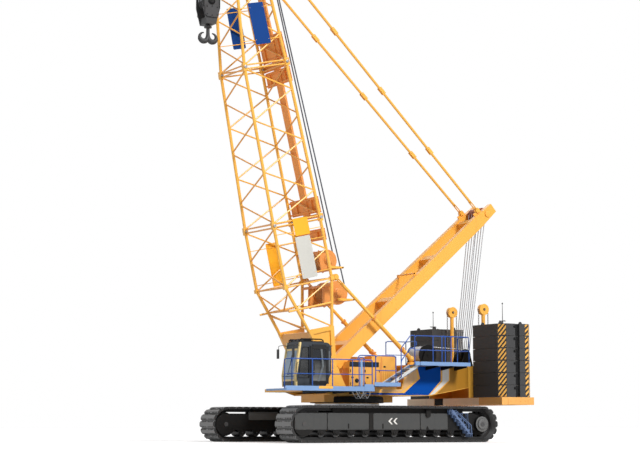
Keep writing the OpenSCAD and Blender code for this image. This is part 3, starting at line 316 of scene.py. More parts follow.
# painted light: a pale peach for plates on the tray's shaded front
paintedLightPale = sprayed("paintedLightPale", rgb(255, 226, 190), dust=0.1)
peachPaint = sprayed("peachPaint", rgb(226, 178, 122), dust=0.2)
darkPaint = sprayed("darkPaint", rgb(66, 67, 67), rough=0.55, dust=0.12, coat=0.0, gloss=0.3,
                    chip=rgb(150, 150, 150), wear=0.35)
blackPaint = sprayed("blackPaint", rgb(12, 12, 13), rough=0.55, dust=0.06, coat=0.0, gloss=0.2,
                     chip=rgb(70, 70, 70), wear=0.3)
deepBlack = sprayed("deepBlack", rgb(6, 6, 6), rough=0.7, dust=0.03, coat=0.0, gloss=0.1,
                    chip=rgb(40, 40, 40), wear=0.1)
ballastPaint = sprayed("ballastPaint", rgb(64, 64, 65), rough=0.65, dust=0.1, coat=0.0, gloss=0.25,
                       chip=rgb(128, 126, 122), wear=0.5)
coverGrey = sprayed("coverGrey", rgb(94, 95, 95), rough=0.5, dust=0.2, coat=0.0)
railBlue = sprayed("railBlue", rgb(34, 84, 170), dust=0.05, gloss=0.3)
kickBlue = sprayed("kickBlue", rgb(124, 158, 204), rough=0.42, dust=0.1)
stepBlue = sprayed("stepBlue", rgb(84, 108, 148), rough=0.42, dust=0.3)
bandBlue = sprayed("bandBlue", rgb(0, 76, 168), rough=0.55, dust=0.0, coat=0.0, wear=0.1, streak=0.1, gloss=0.08)
bandWhite = sprayed("bandWhite", rgb(236, 232, 226), dust=0.1, wear=0.2)
boardWhite = sprayed("boardWhite", rgb(202, 200, 192), rough=0.45, dust=0.0, streak=0.12, wear=0.2)
boardYellow = sprayed("boardYellow", rgb(250, 176, 10), rough=0.45, dust=0.0, streak=0.15, wear=0.2)
boardBlue = sprayed("boardBlue", rgb(4, 60, 130), rough=0.5, dust=0.0, streak=0.1, wear=0.2, coat=0.0, gloss=0.15)
sheaveRed = sprayed("sheaveRed", rgb(150, 74, 40), rough=0.5, wear=0.8, chip=rgb(140, 136, 130))
cabGrey = sprayed("cabGrey", rgb(52, 57, 64), rough=0.45, dust=0.05, wear=0.2, coat=0.0, gloss=0.3)
cabTrim = sprayed("cabTrim", rgb(96, 102, 106), dust=0.1, wear=0.2)
cabCream = sprayed("cabCream", rgb(236, 208, 140), dust=0.1)
cabBlack = sprayed("cabBlack", rgb(20, 20, 22), dust=0.03, coat=0.1, gloss=0.3, wear=0.2, chip=rgb(90, 90, 90))
rubber = sprayed("rubber", rgb(20, 20, 21), rough=0.75, dust=0.1, gloss=0.2, coat=0.0, wear=0.15,
                 chip=rgb(60, 60, 60))
# painted highlight: front paints the +X-facing faces of the track shoes pale grey
trackSteel = bareMetal("trackSteel", rgb(18, 18, 19), rough=0.6, metal=0.1, rust=0.05, dust=0.04, front=0.62)
runningSteel = bareMetal("runningSteel", rgb(70, 70, 71), metal=0.4, rust=0.1)
brightSteel = bareMetal("brightSteel", rgb(168, 168, 170), rough=0.3, metal=0.95, rust=0.05, grain=60.0, depth=0.001)
hookGrey = bareMetal("hookGrey", rgb(56, 56, 57), rough=0.55, metal=0.2, rust=0.04, dust=0.1)
chainSteel = bareMetal("chainSteel", rgb(120, 118, 116), metal=0.7, rust=0.25)
ropeGrey = wireRope("ropeGrey", rgb(176, 178, 182))
darkRope = wireRope("darkRope", rgb(92, 96, 104))
greasedRope = wireRope("greasedRope", rgb(178, 124, 72))
hazardNear = hazardBars("hazardNear", -1)
hazardFar = hazardBars("hazardFar", 1)
sideGlass = pane("sideGlass", rgb(28, 31, 36), 0.95, 2.3)
# painted reflection: the front panes are given pale blue-grey
cabGlass = cabPane("cabGlass", rgb(28, 31, 36), rgb(168, 192, 216))
brownDeck = treadPlate("brownDeck", rgb(234, 146, 64))
walkTread = treadPlate("walkTread", rgb(96, 118, 150))
stairGrey = treadPlate("stairGrey", rgb(196, 196, 194))
seatCloth = wovenCloth("seatCloth", rgb(44, 44, 48))
print("finishes made:", len(bpy.data.materials))

finishOf = {
    trackSteel: "track_left track_right",
    runningSteel: "idlers lower_rollers carrier_rollers",
    # painted shade: the track side frames take black, standing in for the shade under the machine on their inner faces
    blackPaint: "sprockets carbody engine_block side_frame_left side_frame_right luffing_winch luffing_block",
    brightSteel: "slewing_ring",
    stepBlue: "access_steps platform_ladder",
    railBlue: "railings",
    kickBlue: "walkways",
    trayPaint: "counterweight_tray",
    yellowPaint: "turntable_frame foot_pins lifting_posts boom_butt boom_insert boom_head pendants backstops",
    shadedLacingPaint: "butt_lacing insert_lacing head_lacing",
    housingPaint: "machinery_housing engine_housing",
    mastPaint: "mast",
    orangePaint: "lower_winch upper_winch",
    brownDeck: "boom_catwalk",
    ballastPaint: "counterweight_left counterweight_right",
    sheaveRed: "mast_sheaves head_sheaves",
    cabGrey: "cab_floor cab_left_side cab_right_side cab_rear_wall cab_roof",
    cabCream: "cab_front_wall",
    cabBlack: "cab_lamps cab_door",
    cabGlass: "cab_glass",
    sideGlass: "cab_door_glass",
    seatCloth: "cab_seat",
    ropeGrey: "hoist_ropes",
    hookGrey: "hook_block ramshorn_hook",
}
for finish, names in finishOf.items():
    for name in names.split():
        part = cad[name]
        part.data.materials.clear()
        part.data.materials.append(finish)
print("nodes painted:", sum(len(names.split()) for names in finishOf.values()))


# A mould collects closed forms and casts them as one piece
class Mould:
    def __init__(self):
        self.points = []
        self.faces = []

    def loft(self, rings, closed=False):
        start = len(self.points)
        n = len(rings[0])
        for ring in rings:
            self.points += [Vector(p) for p in ring]
        spans = len(rings) if closed else len(rings) - 1
        for k in range(spans):
            a = start + k * n
            b = start + ((k + 1) % len(rings)) * n
            self.faces += [[a + i, a + (i + 1) % n, b + (i + 1) % n, b + i] for i in range(n)]
        if not closed:
            self.faces.append([start + i for i in range(n)][::-1])
            self.faces.append([start + (len(rings) - 1) * n + i for i in range(n)])
        return self

    def box(self, low, high):
        (a, b, c), (d, e, f) = low, high
        return self.loft([[(a, b, z), (d, b, z), (d, e, z), (a, e, z)] for z in (c, f)])

    def block(self, xs, ys, zs):  # box on the deck, from three pairs
        return self.box(onDeck(xs[0], ys[0], zs[0]), onDeck(xs[1], ys[1], zs[1]))

    def plate(self, outline, face, thick, place=onDeck):  # outline in x and z, thick along y from a face
        return self.loft([[place(u, y, v) for u, v in outline] for y in (face, face + thick)])

    def ringAt(self, centre, along, radius, count):
        along = Vector(along).normalized()
        side = along.orthogonal().normalized()
        up = along.cross(side)
        return [Vector(centre) + side * a + up * b for a, b in circle(count, radius)]

    def tube(self, p, q, radius, count=8, radius2=None):
        along = Vector(q) - Vector(p)
        return self.loft([self.ringAt(p, along, radius, count), self.ringAt(q, along, radius2 or radius, count)])

    def pipe(self, points, radius, count=8):
        points = [Vector(p) for p in points]
        along = (points[1] - points[0]).normalized()
        side = along.orthogonal().normalized()
        rings = []
        for k, p in enumerate(points):
            into = (p - points[k - 1]).normalized() if k else along
            out = (points[k + 1] - p).normalized() if k + 1 < len(points) else into
            mid = (into + out).normalized()
            side = (side - mid * side.dot(mid)).normalized()
            up = mid.cross(side)
            rings.append([p + side * a + up * b for a, b in circle(count, radius)])
        return self.loft(rings)

    def bar(self, p, q, wide, deep, up=across):
        p, q = Vector(p), Vector(q)
        along = (q - p).normalized()
        u = (Vector(up) - along * Vector(up).dot(along)).normalized() * wide / 2
        v = along.cross(u).normalized() * deep / 2
        return self.loft([[c + u + v, c - u + v, c - u - v, c + u - v] for c in (p, q)])

    def turned(self, profile, centre, along, count=24):  # profile of radius and distance along
        along = Vector(along).normalized()
        return self.loft([self.ringAt(Vector(centre) + along * d, along, r, count) for r, d in profile])

    def hoop(self, centre, along, radius, thick, count=18, around=8):
        along = Vector(along)
        side = along.orthogonal().normalized()
        up = along.cross(side)
        rings = []
        for a, b in circle(count):
            out = side * a + up * b
            rings.append([Vector(centre) + out * (radius + c) + along * d for c, d in circle(around, thick)])
        return self.loft(rings, closed=True)

    def link(self, at, turn, radius, wire, long):  # chain link standing on end, turned every other time
        wide, thin = Vector((1, 0, 0)), Vector(across)
        if turn:
            wide, thin = thin, wide
        rings = []
        for a, b in circle(12, start=math.pi / 12):
            out = wide * a + Vector(upward) * b
            mid = at + out * radius + Vector(upward) * math.copysign(long, b)
            rings.append([mid + out * c + thin * d for c, d in circle(6, wire)])
        return self.loft(rings, closed=True)

    def bolt(self, at, out, radius, tall):
        return self.turned([(radius, 0), (radius, tall * 0.75), (radius * 0.75, tall)], at, out, 6)

    def cast(self, name, finish, body="superstructure", bevel=0.0, slot=None):
        mesh = bpy.data.meshes.new(name)
        mesh.from_pydata(self.points, [], self.faces)
        form = bmesh.new()
        form.from_mesh(mesh)
        bmesh.ops.recalc_face_normals(form, faces=form.faces)
        form.to_mesh(mesh)
        form.free()
        mesh.shade_smooth()
        mesh.set_sharp_from_angle(angle=math.radians(40))
        mesh.materials.append(finish)
        piece = bpy.data.objects.new(name, mesh)
        bpy.context.scene.collection.objects.link(piece)
        if bevel:
            soften = piece.modifiers.new("soften", "BEVEL")
            soften.width = bevel
            soften.segments = 1
            soften.limit_method = "ANGLE"
            soften.angle_limit = math.radians(50)
        if body:
            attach(piece, body)
        return piece


# Bolts on the sloping steps of every track shoe
shoe = {"count": 64, "endX": 4.0, "endR": 0.70, "middle": 3.13, "slope": 0.1009, "deep": 0.021, "lean": 0.457,
        "rows": (-0.50, -0.38, -0.26, -0.14, 0.14, 0.26, 0.38, 0.50), "radius": 0.027, "tall": 0.008}


def alongTrack(p):  # place, outward and forward directions at p along the loop
    r, run = shoe["endR"], 2 * shoe["endX"]
    half = run + math.pi * r
    flip = -1 if p % (2 * half) >= half else 1
    p %= half
    t = max(0.0, (p - run) / r)
    out = Vector((math.sin(t), 0, -math.cos(t)))
    ahead = Vector((math.cos(t), 0, math.sin(t)))
    at = Vector((min(p, run) - run / 2, 0, 0)) + out * (r - shoe["deep"])
    return at * flip + Vector((slewX, 0, r)), out * flip, ahead * flip


pitch = 2 * (2 * shoe["endX"] + math.pi * shoe["endR"]) / shoe["count"]
for side, name in zip(sides, ("Left", "Right")):
    bolts = Mould()
    for k in range(shoe["count"]):
        for step in (-1, 1):
            at, out, ahead = alongTrack(shoe["endX"] + k * pitch + step * shoe["slope"])
            tilt = out * math.cos(shoe["lean"]) + ahead * step * math.sin(shoe["lean"])
            for y in shoe["rows"]:
                bolts.bolt(at + Vector((0, side * (shoe["middle"] + y), 0)), tilt, shoe["radius"], shoe["tall"])
    bolts.cast("shoeBolts" + name, deepBlack, "undercarriage")
print("track shoes bolted")

# Cover panels, guards, hubs and bolts on the track frames, and bolts on the final drives
skirt = {"face": 3.51, "thick": 0.016, "low": 0.49, "high": 1.105, "boltStep": 0.42,
         "panels": ((-2.44, -1.18), (-1.14, 0.97), (1.18, 2.99), (3.03, 4.40)),
         "guards": ((3.43, 3.47), (2.79, 2.83)), "inner": ((-2.90, -1.55), (1.62, 2.97)),
         "bracket": ((-1.60, 1.00), (-1.56, 0.97), (-1.46, 0.97), (-1.40, 1.02), (-1.40, 1.27), (-1.62, 1.27)),
         "keeper": ((-1.51, 0.62), (-1.47, 0.62), (-1.43, 0.50), (-1.55, 0.50)), "pads": (0.52, 2.05),
         "chevron": ((0, 0.81), (-0.13, 0.93), (-0.20, 0.93), (-0.08, 0.81), (-0.20, 0.69), (-0.13, 0.69)),
         "chevronAt": (0.30, 0.08), "cut": 0.03, "boltEnd": 0.07, "boltEdge": 0.05, "bolt": (0.016, 0.014),
         "joiner": (1.01, 0.50, 1.15, 1.12, 0.02), "guardX": (-3.20, 2.75), "guardZ": (1.10, 1.295),
         "innerFace": 2.734, "innerThick": 0.056, "innerLow": 0.87, "innerHigh": 1.20,
         "padWide": 0.06, "padLow": 0.52, "padHigh": 0.72}
hub = {"first": -3.25, "last": 3.25, "count": 11, "z": 0.36,
       "boltRing": 0.058, "bolt": (0.011, 0.012), "boltFace": 0.02,
       "profile": [(0.075, 0), (0.075, 0.02), (0.055, 0.034), (0.02, 0.034), (0.014, 0.022)]}
drive = {"x": -4.0, "z": 0.70, "rim": 3.645, "face": 3.68,
         "bolts": ((0.262, 18, "rim", 0.016), (0.172, 12, "face", 0.014)),
         "cap": [(0.10, 0), (0.10, 0.012), (0.05, 0.02), (0.028, 0.02), (0.02, 0.01)],
         "rimDish": [(0.296, 0.0), (0.296, 0.004), (0.285, 0.008), (0.225, 0.008), (0.222, 0.002)],
         "faceDish": [(0.206, 0.0), (0.206, 0.004), (0.196, 0.009), (0.13, 0.009), (0.124, 0.003)]}
for side, name in zip(sides, ("Left", "Right")):
    face = side * skirt["face"]
    proud = side * skirt["thick"]
    out = (0, side, 0)
    panels, fixings, inner, dark, marks = (Mould() for k in range(5))
    for a, b in skirt["panels"]:
        panels.plate(corners(a, skirt["low"], b, skirt["high"], skirt["cut"]), face, proud)
        for x in spread(a + skirt["boltEnd"], b - skirt["boltEnd"], max(2, round((b - a) / skirt["boltStep"]))):
            for z in (skirt["low"] + skirt["boltEdge"], skirt["high"] - skirt["boltEdge"]):
                fixings.bolt(onDeck(x, face + proud, z), out, *skirt["bolt"])
    dark.plate(corners(*skirt["joiner"]), face, side * 0.01)
    for y0, y1 in skirt["guards"]:  # under the upper run
        dark.block(skirt["guardX"], (side * y0, side * y1), skirt["guardZ"])
    dark.plate(skirt["bracket"], face, side * 0.09)
    dark.plate(skirt["keeper"], face, side * 0.03)
    for x in skirt["pads"]:
        outline = corners(x, skirt["padLow"], x + skirt["padWide"], skirt["padHigh"], 0.02)
        dark.plate(outline, face, side * 0.022)
    for x in skirt["chevronAt"]:
        marks.plate([(x + dx, z) for dx, z in skirt["chevron"]], face + proud, side * 0.003)
    for x in spread(hub["first"], hub["last"], hub["count"]):
        at = onDeck(x, face, hub["z"])
        dark.turned(hub["profile"], at, out, 18)
        for dx, dz in circle(3, hub["boltRing"], 0.5):
            fixings.bolt(at + Vector((dx, side * hub["boltFace"], dz)), out, *hub["bolt"])
    for a, b in skirt["inner"]:
        outline = corners(a, skirt["innerLow"], b, skirt["innerHigh"], 0.02)
        inner.plate(outline, side * skirt["innerFace"], side * skirt["innerThick"])
    for radius, count, level, size in drive["bolts"]:
        for dx, dz in circle(count, radius):
            fixings.bolt(onDeck(drive["x"] + dx, side * drive[level], drive["z"] + dz), out, size, 0.014)
    fixings.turned(drive["cap"], onDeck(drive["x"], side * drive["face"], drive["z"]), out, 20)
    panels.cast("skirtPanels" + name, darkPaint, "undercarriage", 0.005)
    inner.cast("innerPlates" + name, coverGrey, "undercarriage", 0.005)
    dark.cast("skirtFittings" + name, rubber, "undercarriage", 0.004, "running_gear")
    fixings.cast("skirtBolts" + name, runningSteel, "undercarriage")
    marks.cast("skirtMarks" + name, bandWhite, "undercarriage")
print("track frames dressed")

# Dished discs on the final drives, and hand loops over the access steps
loop = {"y": (3.53, 3.65), "radius": 0.014,
        "upper": ((-2.66, 1.02), (-2.58, 1.26), (-2.50, 1.30), (-2.44, 1.24), (-2.46, 1.06)),
        "lower": ((-3.00, 0.86), (-3.06, 1.12), (-3.30, 1.12), (-3.34, 0.50))}
covers = Mould()
loops = Mould()
for side in sides:
    for dish, level in (("rimDish", "rim"), ("faceDish", "face")):
        covers.turned(drive[dish], onDeck(drive["x"], side * drive[level], drive["z"]), (0, side, 0), 40)
    for y in loop["y"]:
        for run in ("upper", "lower"):
            loops.pipe(deckPath(side * y, *loop[run]), loop["radius"])
covers.cast("driveCovers", coverGrey, "undercarriage", slot="running_gear")
loops.cast("stepLoops", stepBlue, "undercarriage")

# Bolt circle round the slewing ring
ring = {"radius": 1.345, "count": 54, "z": 1.35}
ringBolts = Mould()
for x, y in circle(ring["count"], ring["radius"]):
    ringBolts.bolt(onDeck(x, y, ring["z"]), upward, 0.022, 0.024)
ringBolts.cast("ringBolts", brightSteel, "undercarriage")
print("undercarriage dressed")

# Painted band across the turntable's side plate; its darker gold field at the rear is painted shade
band = {"face": 1.44, "thick": 0.005, "fields": {
    "blue": (bandBlue, [(-1.80, 1.93), (-2.96, 1.86), (-3.56, 2.44), (-3.56, 3.00), (-2.42, 3.00), (-2.56, 2.52)]),
    "line": (bandBlue, [(0.10, 1.85), (0.10, 1.925), (-1.80, 1.93), (-2.96, 1.855)]),
    "white": (bandWhite, [(-3.02, 1.87), (-3.24, 1.90), (-3.96, 2.46), (-3.96, 3.00), (-3.64, 3.00), (-3.64, 2.42)]),
    "peach": (peachPaint, [(-0.72, 1.98), (-1.66, 1.97), (-2.44, 2.52), (-2.34, 2.93), (-1.96, 2.93), (-1.70, 2.06),
                           (-0.72, 2.06)]),
    "gold": (paintedShadeGold, [(-3.36, 1.92), (-4.93, 2.19), (-4.93, 3.00), (-4.02, 3.00), (-4.02, 2.46)])}}
for name, (finish, outline) in band["fields"].items():
    Mould().plate(outline, band["face"], band["thick"]).cast("band_" + name, finish)


def addCatch(mould, x, z, face, way):  # small block that stands on a door
    mould.plate(corners(x - 0.05, z - 0.03, x + 0.05, z + 0.03, 0.012), face + way * 0.012, way * 0.018)


# Doors, strips, ribs and catches on the machinery housing
house = {"face": 1.42, "doors": ((0.04, 2.14, 0.71, 2.91), (-0.64, 2.14, 0.00, 2.91), (-1.42, 2.14, -0.80, 3.30)),
         "catches": ((0.62, 2.52), (-0.08, 2.52), (-0.88, 2.96)), "hinges": (0.70, 0.03, -0.63),
         "strips": ((-0.70, 3.12, 0.006), (-0.76, 3.34, 0.010)), "doorThick": 0.014, "hingeZ": (2.28, 2.78),
         "ribs": (-1.36, -0.86, 6), "rib": ((0, 2.22), (0.035, 2.22), (0.035, 2.86), (0, 2.86)),
         "sill": (-0.62, 2.935, 0.745, 3.135, 0.02), "vents": (0.55, -0.15, 5), "ventHalf": 0.04,
         "ventY": (1.00, 1.34), "ventZ": (3.15, 3.175), "stubAt": (-0.55, 1.16, 3.38), "lidAt": (-1.05, 1.16, 3.38),
         "filler": [(0.085, 0), (0.085, 0.02), (0.065, 0.035), (0.065, 0.05), (0.03, 0.055)],
         "stub": [(0.06, 0), (0.06, 0.10), (0.10, 0.12), (0.10, 0.17), (0.05, 0.19)],
         "lid": [(0.16, 0), (0.16, 0.03), (0.12, 0.05), (0.03, 0.055)]}
face = house["face"]
doors, gap, catches, roofVents = (Mould() for k in range(4))
for door in house["doors"]:
    doors.plate(corners(*door, 0.04), face, house["doorThick"])
for x in spread(*house["ribs"]):
    doors.plate([(x + dx, z) for dx, z in house["rib"]], face + house["doorThick"], house["doorThick"])
for x, top, thick in house["strips"]:
    gap.plate([(x, 2.10), (x + 0.04, 2.10), (x + 0.04, top), (x, top)], face, thick)
catches.plate(corners(*house["sill"]), face, 0.010)
for x, z in house["catches"]:
    addCatch(catches, x, z, face, 1)
    catches.turned([(0.022, 0), (0.022, 0.02), (0.014, 0.026)], onDeck(x, face + 0.03, z), across, 14)
for x in house["hinges"]:
    for z in house["hingeZ"]:
        catches.tube(onDeck(x, face + 0.02, z - 0.05), onDeck(x, face + 0.02, z + 0.05), 0.014)
catches.turned(house["filler"], onDeck(0.42, face + 0.012, 2.40), across, 26)
for x in spread(*house["vents"]):
    roofVents.block((x - house["ventHalf"], x + house["ventHalf"]), house["ventY"], house["ventZ"])
roofVents.turned(house["stub"], onDeck(*house["stubAt"]), upward, 20)
roofVents.turned(house["lid"], onDeck(*house["lidAt"]), upward, 24)
doors.cast("housingDoors", housingPaint, bevel=0.005)
gap.cast("housingGap", orangePaint)
catches.cast("housingCatches", cabBlack, bevel=0.003)
roofVents.cast("housingVents", orangePaint, bevel=0.004)
print("machinery housing dressed")

# Engine side: louvre blades, doors, roof grilles and exhaust
engine = {"face": -2.52, "high": 3.42, "slots": 7, "slotX": -3.0, "slotStep": 0.24, "slotLow": 2.67, "slotHigh": 3.13,
          "doors": ((-3.22, 2.06, -1.36, 2.56), (-1.26, 2.06, -0.30, 3.30), (-0.22, 2.06, 0.72, 3.16)),
          "grilles": ((-3.1, -2.2), (-2.0, -0.9)), "catches": ((-1.45, 2.30), (-0.38, 2.60), (0.64, 2.60)),
          "grilleY": (-2.42, -1.54), "slatY": (-2.36, -1.60), "pipeAt": (-0.45, -1.98),
          "pipe": [(0.12, 0), (0.12, 0.03), (0.085, 0.04), (0.085, 0.42), (0.095, 0.43), (0.095, 0.47), (0.07, 0.47),
                   (0.07, 0.38)]}
roof = engine["high"]
blades, hatches, exhaust = (Mould() for k in range(3))
for k in range(engine["slots"]):
    x = engine["slotX"] + k * engine["slotStep"]
    y = engine["face"] + 0.02
    for z in spread(engine["slotLow"], engine["slotHigh"], 9):
        blades.bar(onDeck(x, y, z), onDeck(x + 0.12, y, z), 0.05, 0.008, up=(0, -0.7, -0.7))
for door in engine["doors"]:
    hatches.plate(corners(*door, 0.04), engine["face"], -0.014)
for x0, x1 in engine["grilles"]:
    hatches.block((x0, x1), engine["grilleY"], (roof, roof + 0.03))
    for x in spread(x0 + 0.06, x1 - 0.06, 11):
        hatches.block((x - 0.014, x + 0.014), engine["slatY"], (roof + 0.03, roof + 0.05))
exhaust.turned(engine["pipe"], onDeck(*engine["pipeAt"], roof), upward, 26)
for x, z in engine["catches"]:
    addCatch(exhaust, x, z, engine["face"], -1)
blades.cast("engineBlades", blackPaint)
hatches.cast("engineHatches", housingPaint, bevel=0.005)
exhaust.cast("engineExhaust", cabBlack, bevel=0.003)
print("engine side dressed")

# Tread plates on the walkways, brackets under them and a painted piece in the kick plate
walk = {"low": 2.02, "mid": 2.19, "high": 3.05}
walk["plates"] = ((0.57, 1.46, 2.15, 2.42, "low"), (0.57, 2.44, 4.46, 2.93, "low"), (3.80, 1.46, 4.46, 2.42, "low"),
                  (-0.63, 1.46, 0.53, 2.93, "mid"), (-4.37, 1.46, -2.00, 2.32, "high"),
                  (-3.28, -3.03, 0.87, -2.54, "low"), (-4.37, -2.32, -3.32, -1.46, "high"))
walk["arms"] = (((0.75, 1.50, 2.25, 2.85), 1.44, 2.90, 1.98, 0.12), ((-2.85, -3.60, -4.25), 1.44, 2.30, 3.01, 0.16),
                ((-3.60, -4.25), -1.44, -2.30, 3.01, 0.16), ((-3.1, -2.1, -1.1, -0.1, 0.7), -2.52, -3.00, 1.98, 0.12))
walk["edges"] = (((4.44, 4.495), (1.46, 2.95), (1.955, 2.03)), ((0.55, 4.48), (2.93, 2.962), (1.945, 1.98)))
walk["patch"] = (2.42, 2.03, 3.03, 2.125, 0.01)
treads, arms, edge = (Mould() for k in range(3))
for x0, y0, x1, y1, level in walk["plates"]:
    treads.block((x0, x1), (y0, y1), (walk[level], walk[level] + 0.006))
for xs, y0, y1, top, deep in walk["arms"]:
    for x in xs:
        ends = ((y0, top), (y1, top), (y1, top - 0.05), (y0, top - deep))
        arms.loft([[onDeck(a, y, z) for y, z in ends] for a in (x - 0.03, x + 0.03)])
for angle in walk["edges"]:  # along the front and left edges
    edge.block(*angle)
treads.cast("walkwayTreads", walkTread)
arms.cast("walkwayArms", blackPaint, bevel=0.004)
Mould().plate(corners(*walk["patch"]), 2.95, 0.007).cast("kickPatch", yellowPaint)
edge.cast("walkwayEdge", kickBlue, bevel=0.006)

# Gate hoops and stair rails beside the walkway rails, and the stair's treads
rail = {"tall": 1.13, "radius": 0.021, "turn": 0.09, "post": 0.95, "gateY": 2.905, "stairY": 2.30,
        "hoops": ((1.00, 1.22, 2.905, 2.02, 3.24), (-3.04, -3.20, 2.305, 3.05, 4.19)),
        "gate": ((1.28, 3.15), (1.27, 3.24), (1.20, 3.31), (1.10, 3.32), (0.46, 3.32)),
        "stair": ((-1.74, 4.18), (-1.58, 4.18), (-1.52, 4.15), (-1.14, 3.72), (-1.10, 3.62)),
        "stairPost": (((-1.10, 2.30, 3.64), (-1.10, 2.30, 2.52)), ((-1.10, 2.30, 2.54), (-1.10, 2.17, 2.48)))}
rails = Mould()
for x0, x1, y, low, high in rail["hoops"]:
    a, b = x0 + (x1 - x0) * 0.3, x0 + (x1 - x0) * 0.7
    path = ((x0, low), (x0, high - 0.05), (a, high), (b, high), (x1, high - 0.05), (x1, low))
    rails.pipe(deckPath(y, *path), rail["radius"])
rails.pipe(deckPath(rail["gateY"], *rail["gate"]), rail["radius"])
for drop in (0, 0.5):
    rails.pipe(deckPath(rail["stairY"], *[(x, z - drop) for x, z in rail["stair"]]), rail["radius"])
for p, q in rail["stairPost"]:
    rails.tube(onDeck(*p), onDeck(*q), rail["radius"])
rails.cast("gateRails", railBlue)
stair = {"low": (-0.65, 0, 2.19), "high": (-1.98, 0, 3.05), "right": 1.57, "left": 2.17, "treads": (0.2, 0.4, 0.6, 0.8),
         "string": ((-0.62, 2.16), (-0.62, 2.30), (-1.96, 3.07), (-1.96, 2.94))}
steps = Mould()
between = (stair["right"] + 0.03, stair["left"] - 0.03)
for k in stair["treads"]:
    x, y, z = mixed(stair["low"], stair["high"], k)
    for dx in spread(-0.10, 0.10, 6):
        steps.block((x + dx - 0.012, x + dx + 0.012), between, (z - 0.012, z + 0.022))
    for y in between:
        steps.block((x - 0.12, x + 0.12), (y - 0.008, y + 0.008), (z - 0.05, z + 0.024))
for y in (stair["right"] - 0.03, stair["left"] + 0.012):
    steps.plate(stair["string"], y, 0.014)
steps.cast("stairTreads", stairGrey, bevel=0.003)
print("walkways dressed")

# Counterweight slabs: striped chamfers, bosses, slots and lifting eyes
ballast = {"front": -5.15, "rear": -6.745, "out": 3.42, "cut": 0.26, "low": 1.775, "slab": 0.493, "count": 6,
           "groove": 0.014, "inset": 0.022, "skin": 0.005, "flank": (-6.33, -6.475), "slot": (-6.055, -5.84),
           "slotY": (3.30, 3.32), "studX": -5.80,
           "stud": [(0.05, -0.01), (0.05, 0.02), (0.036, 0.028), (0.036, 0.05), (0.02, 0.055)],
           "eyes": ((-5.45, 1.75), (-5.45, 2.95), (-6.45, 1.75), (-6.45, 2.95)),
           "eye": ((-0.09, 0), (0.09, 0), (0.07, 0.07), (0.03, 0.11), (-0.03, 0.11), (-0.07, 0.07))}
stripes = {-1: Mould(), 1: Mould()}
studs, slots, eyes = (Mould() for k in range(3))
for side in sides:
    face = ballast["out"]
    for k in range(ballast["count"]):
        z0 = ballast["low"] + k * ballast["slab"] + ballast["inset"]
        z1 = ballast["low"] + (k + 1) * ballast["slab"] - ballast["groove"] - ballast["inset"]
        for end, x in ((1, ballast["front"]), (-1, ballast["rear"])):
            a = Vector((x, face - ballast["cut"]))
            b = Vector((x - end * ballast["cut"], face))
            skin = Vector((end, 1)).normalized() * ballast["skin"]
            p, q = a + (b - a) * 0.06, a + (b - a) * 0.94
            outline = (p, q, q + skin, p + skin)
            stripes[-end * side].loft([[onDeck(c.x, side * c.y, z) for c in outline] for z in (z0, z1)])
        stripes[-side].block(ballast["flank"], (side * face, side * (face + ballast["skin"])), (z0, z1))
        studs.turned(ballast["stud"], onDeck(ballast["studX"], side * face, z0 + 0.34), (0, side, 0), 16)
        slots.block(ballast["slot"], [side * y for y in ballast["slotY"]], (z0, z1))
    top = ballast["low"] + ballast["count"] * ballast["slab"] - ballast["groove"]
    for x, y in ballast["eyes"]:
        eyes.plate([(x + dx, top + dz) for dx, dz in ballast["eye"]], side * y - 0.02, 0.04)
        eyes.hoop(onDeck(x, side * y, top + 0.065), across, 0.030, 0.024)
stripes[-1].cast("ballastStripesNear", hazardNear)
stripes[1].cast("ballastStripesFar", hazardFar)
studs.cast("ballastStuds", rubber)
slots.cast("ballastSlots", rubber)
eyes.cast("ballastEyes", ballastPaint, bevel=0.003)

# Marker poles on the stacks, and chains that hang from the lifting posts
pole = {"x": -5.90, "y": 2.5, "foot": 4.719, "tops": (5.55, 5.46), "radius": 0.017, "arms": ((0.16, 0), (0, 0.16)),
        "socket": [(0.07, 0), (0.07, 0.02), (0.035, 0.03), (0.03, 0.16), (0.02, 0.17)],
        "knob": [(0.012, 0), (0.03, 0.02), (0.03, 0.05), (0.012, 0.07)]}
poles = Mould()
for side, top in zip(sides, pole["tops"]):
    at = onDeck(pole["x"], side * pole["y"], pole["foot"])
    tip = (at.x, at.y, top)
    poles.tube(at, tip, pole["radius"], 10, pole["radius"] * 0.6)
    poles.turned(pole["socket"], at, upward, 18)
    for dx, dy in pole["arms"]:
        poles.bar(at + Vector((-dx, -dy, 0.155)), at + Vector((dx, dy, 0.155)), 0.03, 0.02, up=upward)
    poles.turned(pole["knob"], tip, upward, 14)
poles.cast("stackPoles", runningSteel, slot="bare_steel")
chain = {"x": -5.93, "y": 1.13, "reach": 0.235, "top": 5.36, "low": 3.16, "pitch": 0.072,
         "pinZ": 5.42, "upperRing": 5.405, "lowerRing": 3.11, "footZ": 3.05,
         "link": 0.022, "wire": 0.0085, "long": 0.022, "ring": 0.012, "foot": [(0.05, 0), (0.05, 0.02), (0.03, 0.03)],
         "pin": [(0.02, -0.14), (0.034, -0.14), (0.034, 0.14), (0.02, 0.14)]}
links = Mould()
for side in sides:
    y = side * chain["y"]
    for way in (-1, 1):
        x = chain["x"] + way * chain["reach"]
        links.hoop(onDeck(x - way * 0.012, y, chain["upperRing"]), across, 0.042, chain["ring"])
        for k in range(int((chain["top"] - chain["low"]) / chain["pitch"]) + 1):
            at = onDeck(x, y, chain["top"] - k * chain["pitch"])
            links.link(at, k % 2, chain["link"], chain["wire"], chain["long"])
        links.hoop(onDeck(x, y, chain["lowerRing"]), (1, 0, 0), 0.045, chain["ring"])
        links.turned(chain["foot"], onDeck(x, y, chain["footZ"]), upward, 16)
    links.turned(chain["pin"], onDeck(chain["x"], y, chain["pinZ"]), across, 20)
links.cast("postChains", chainSteel)
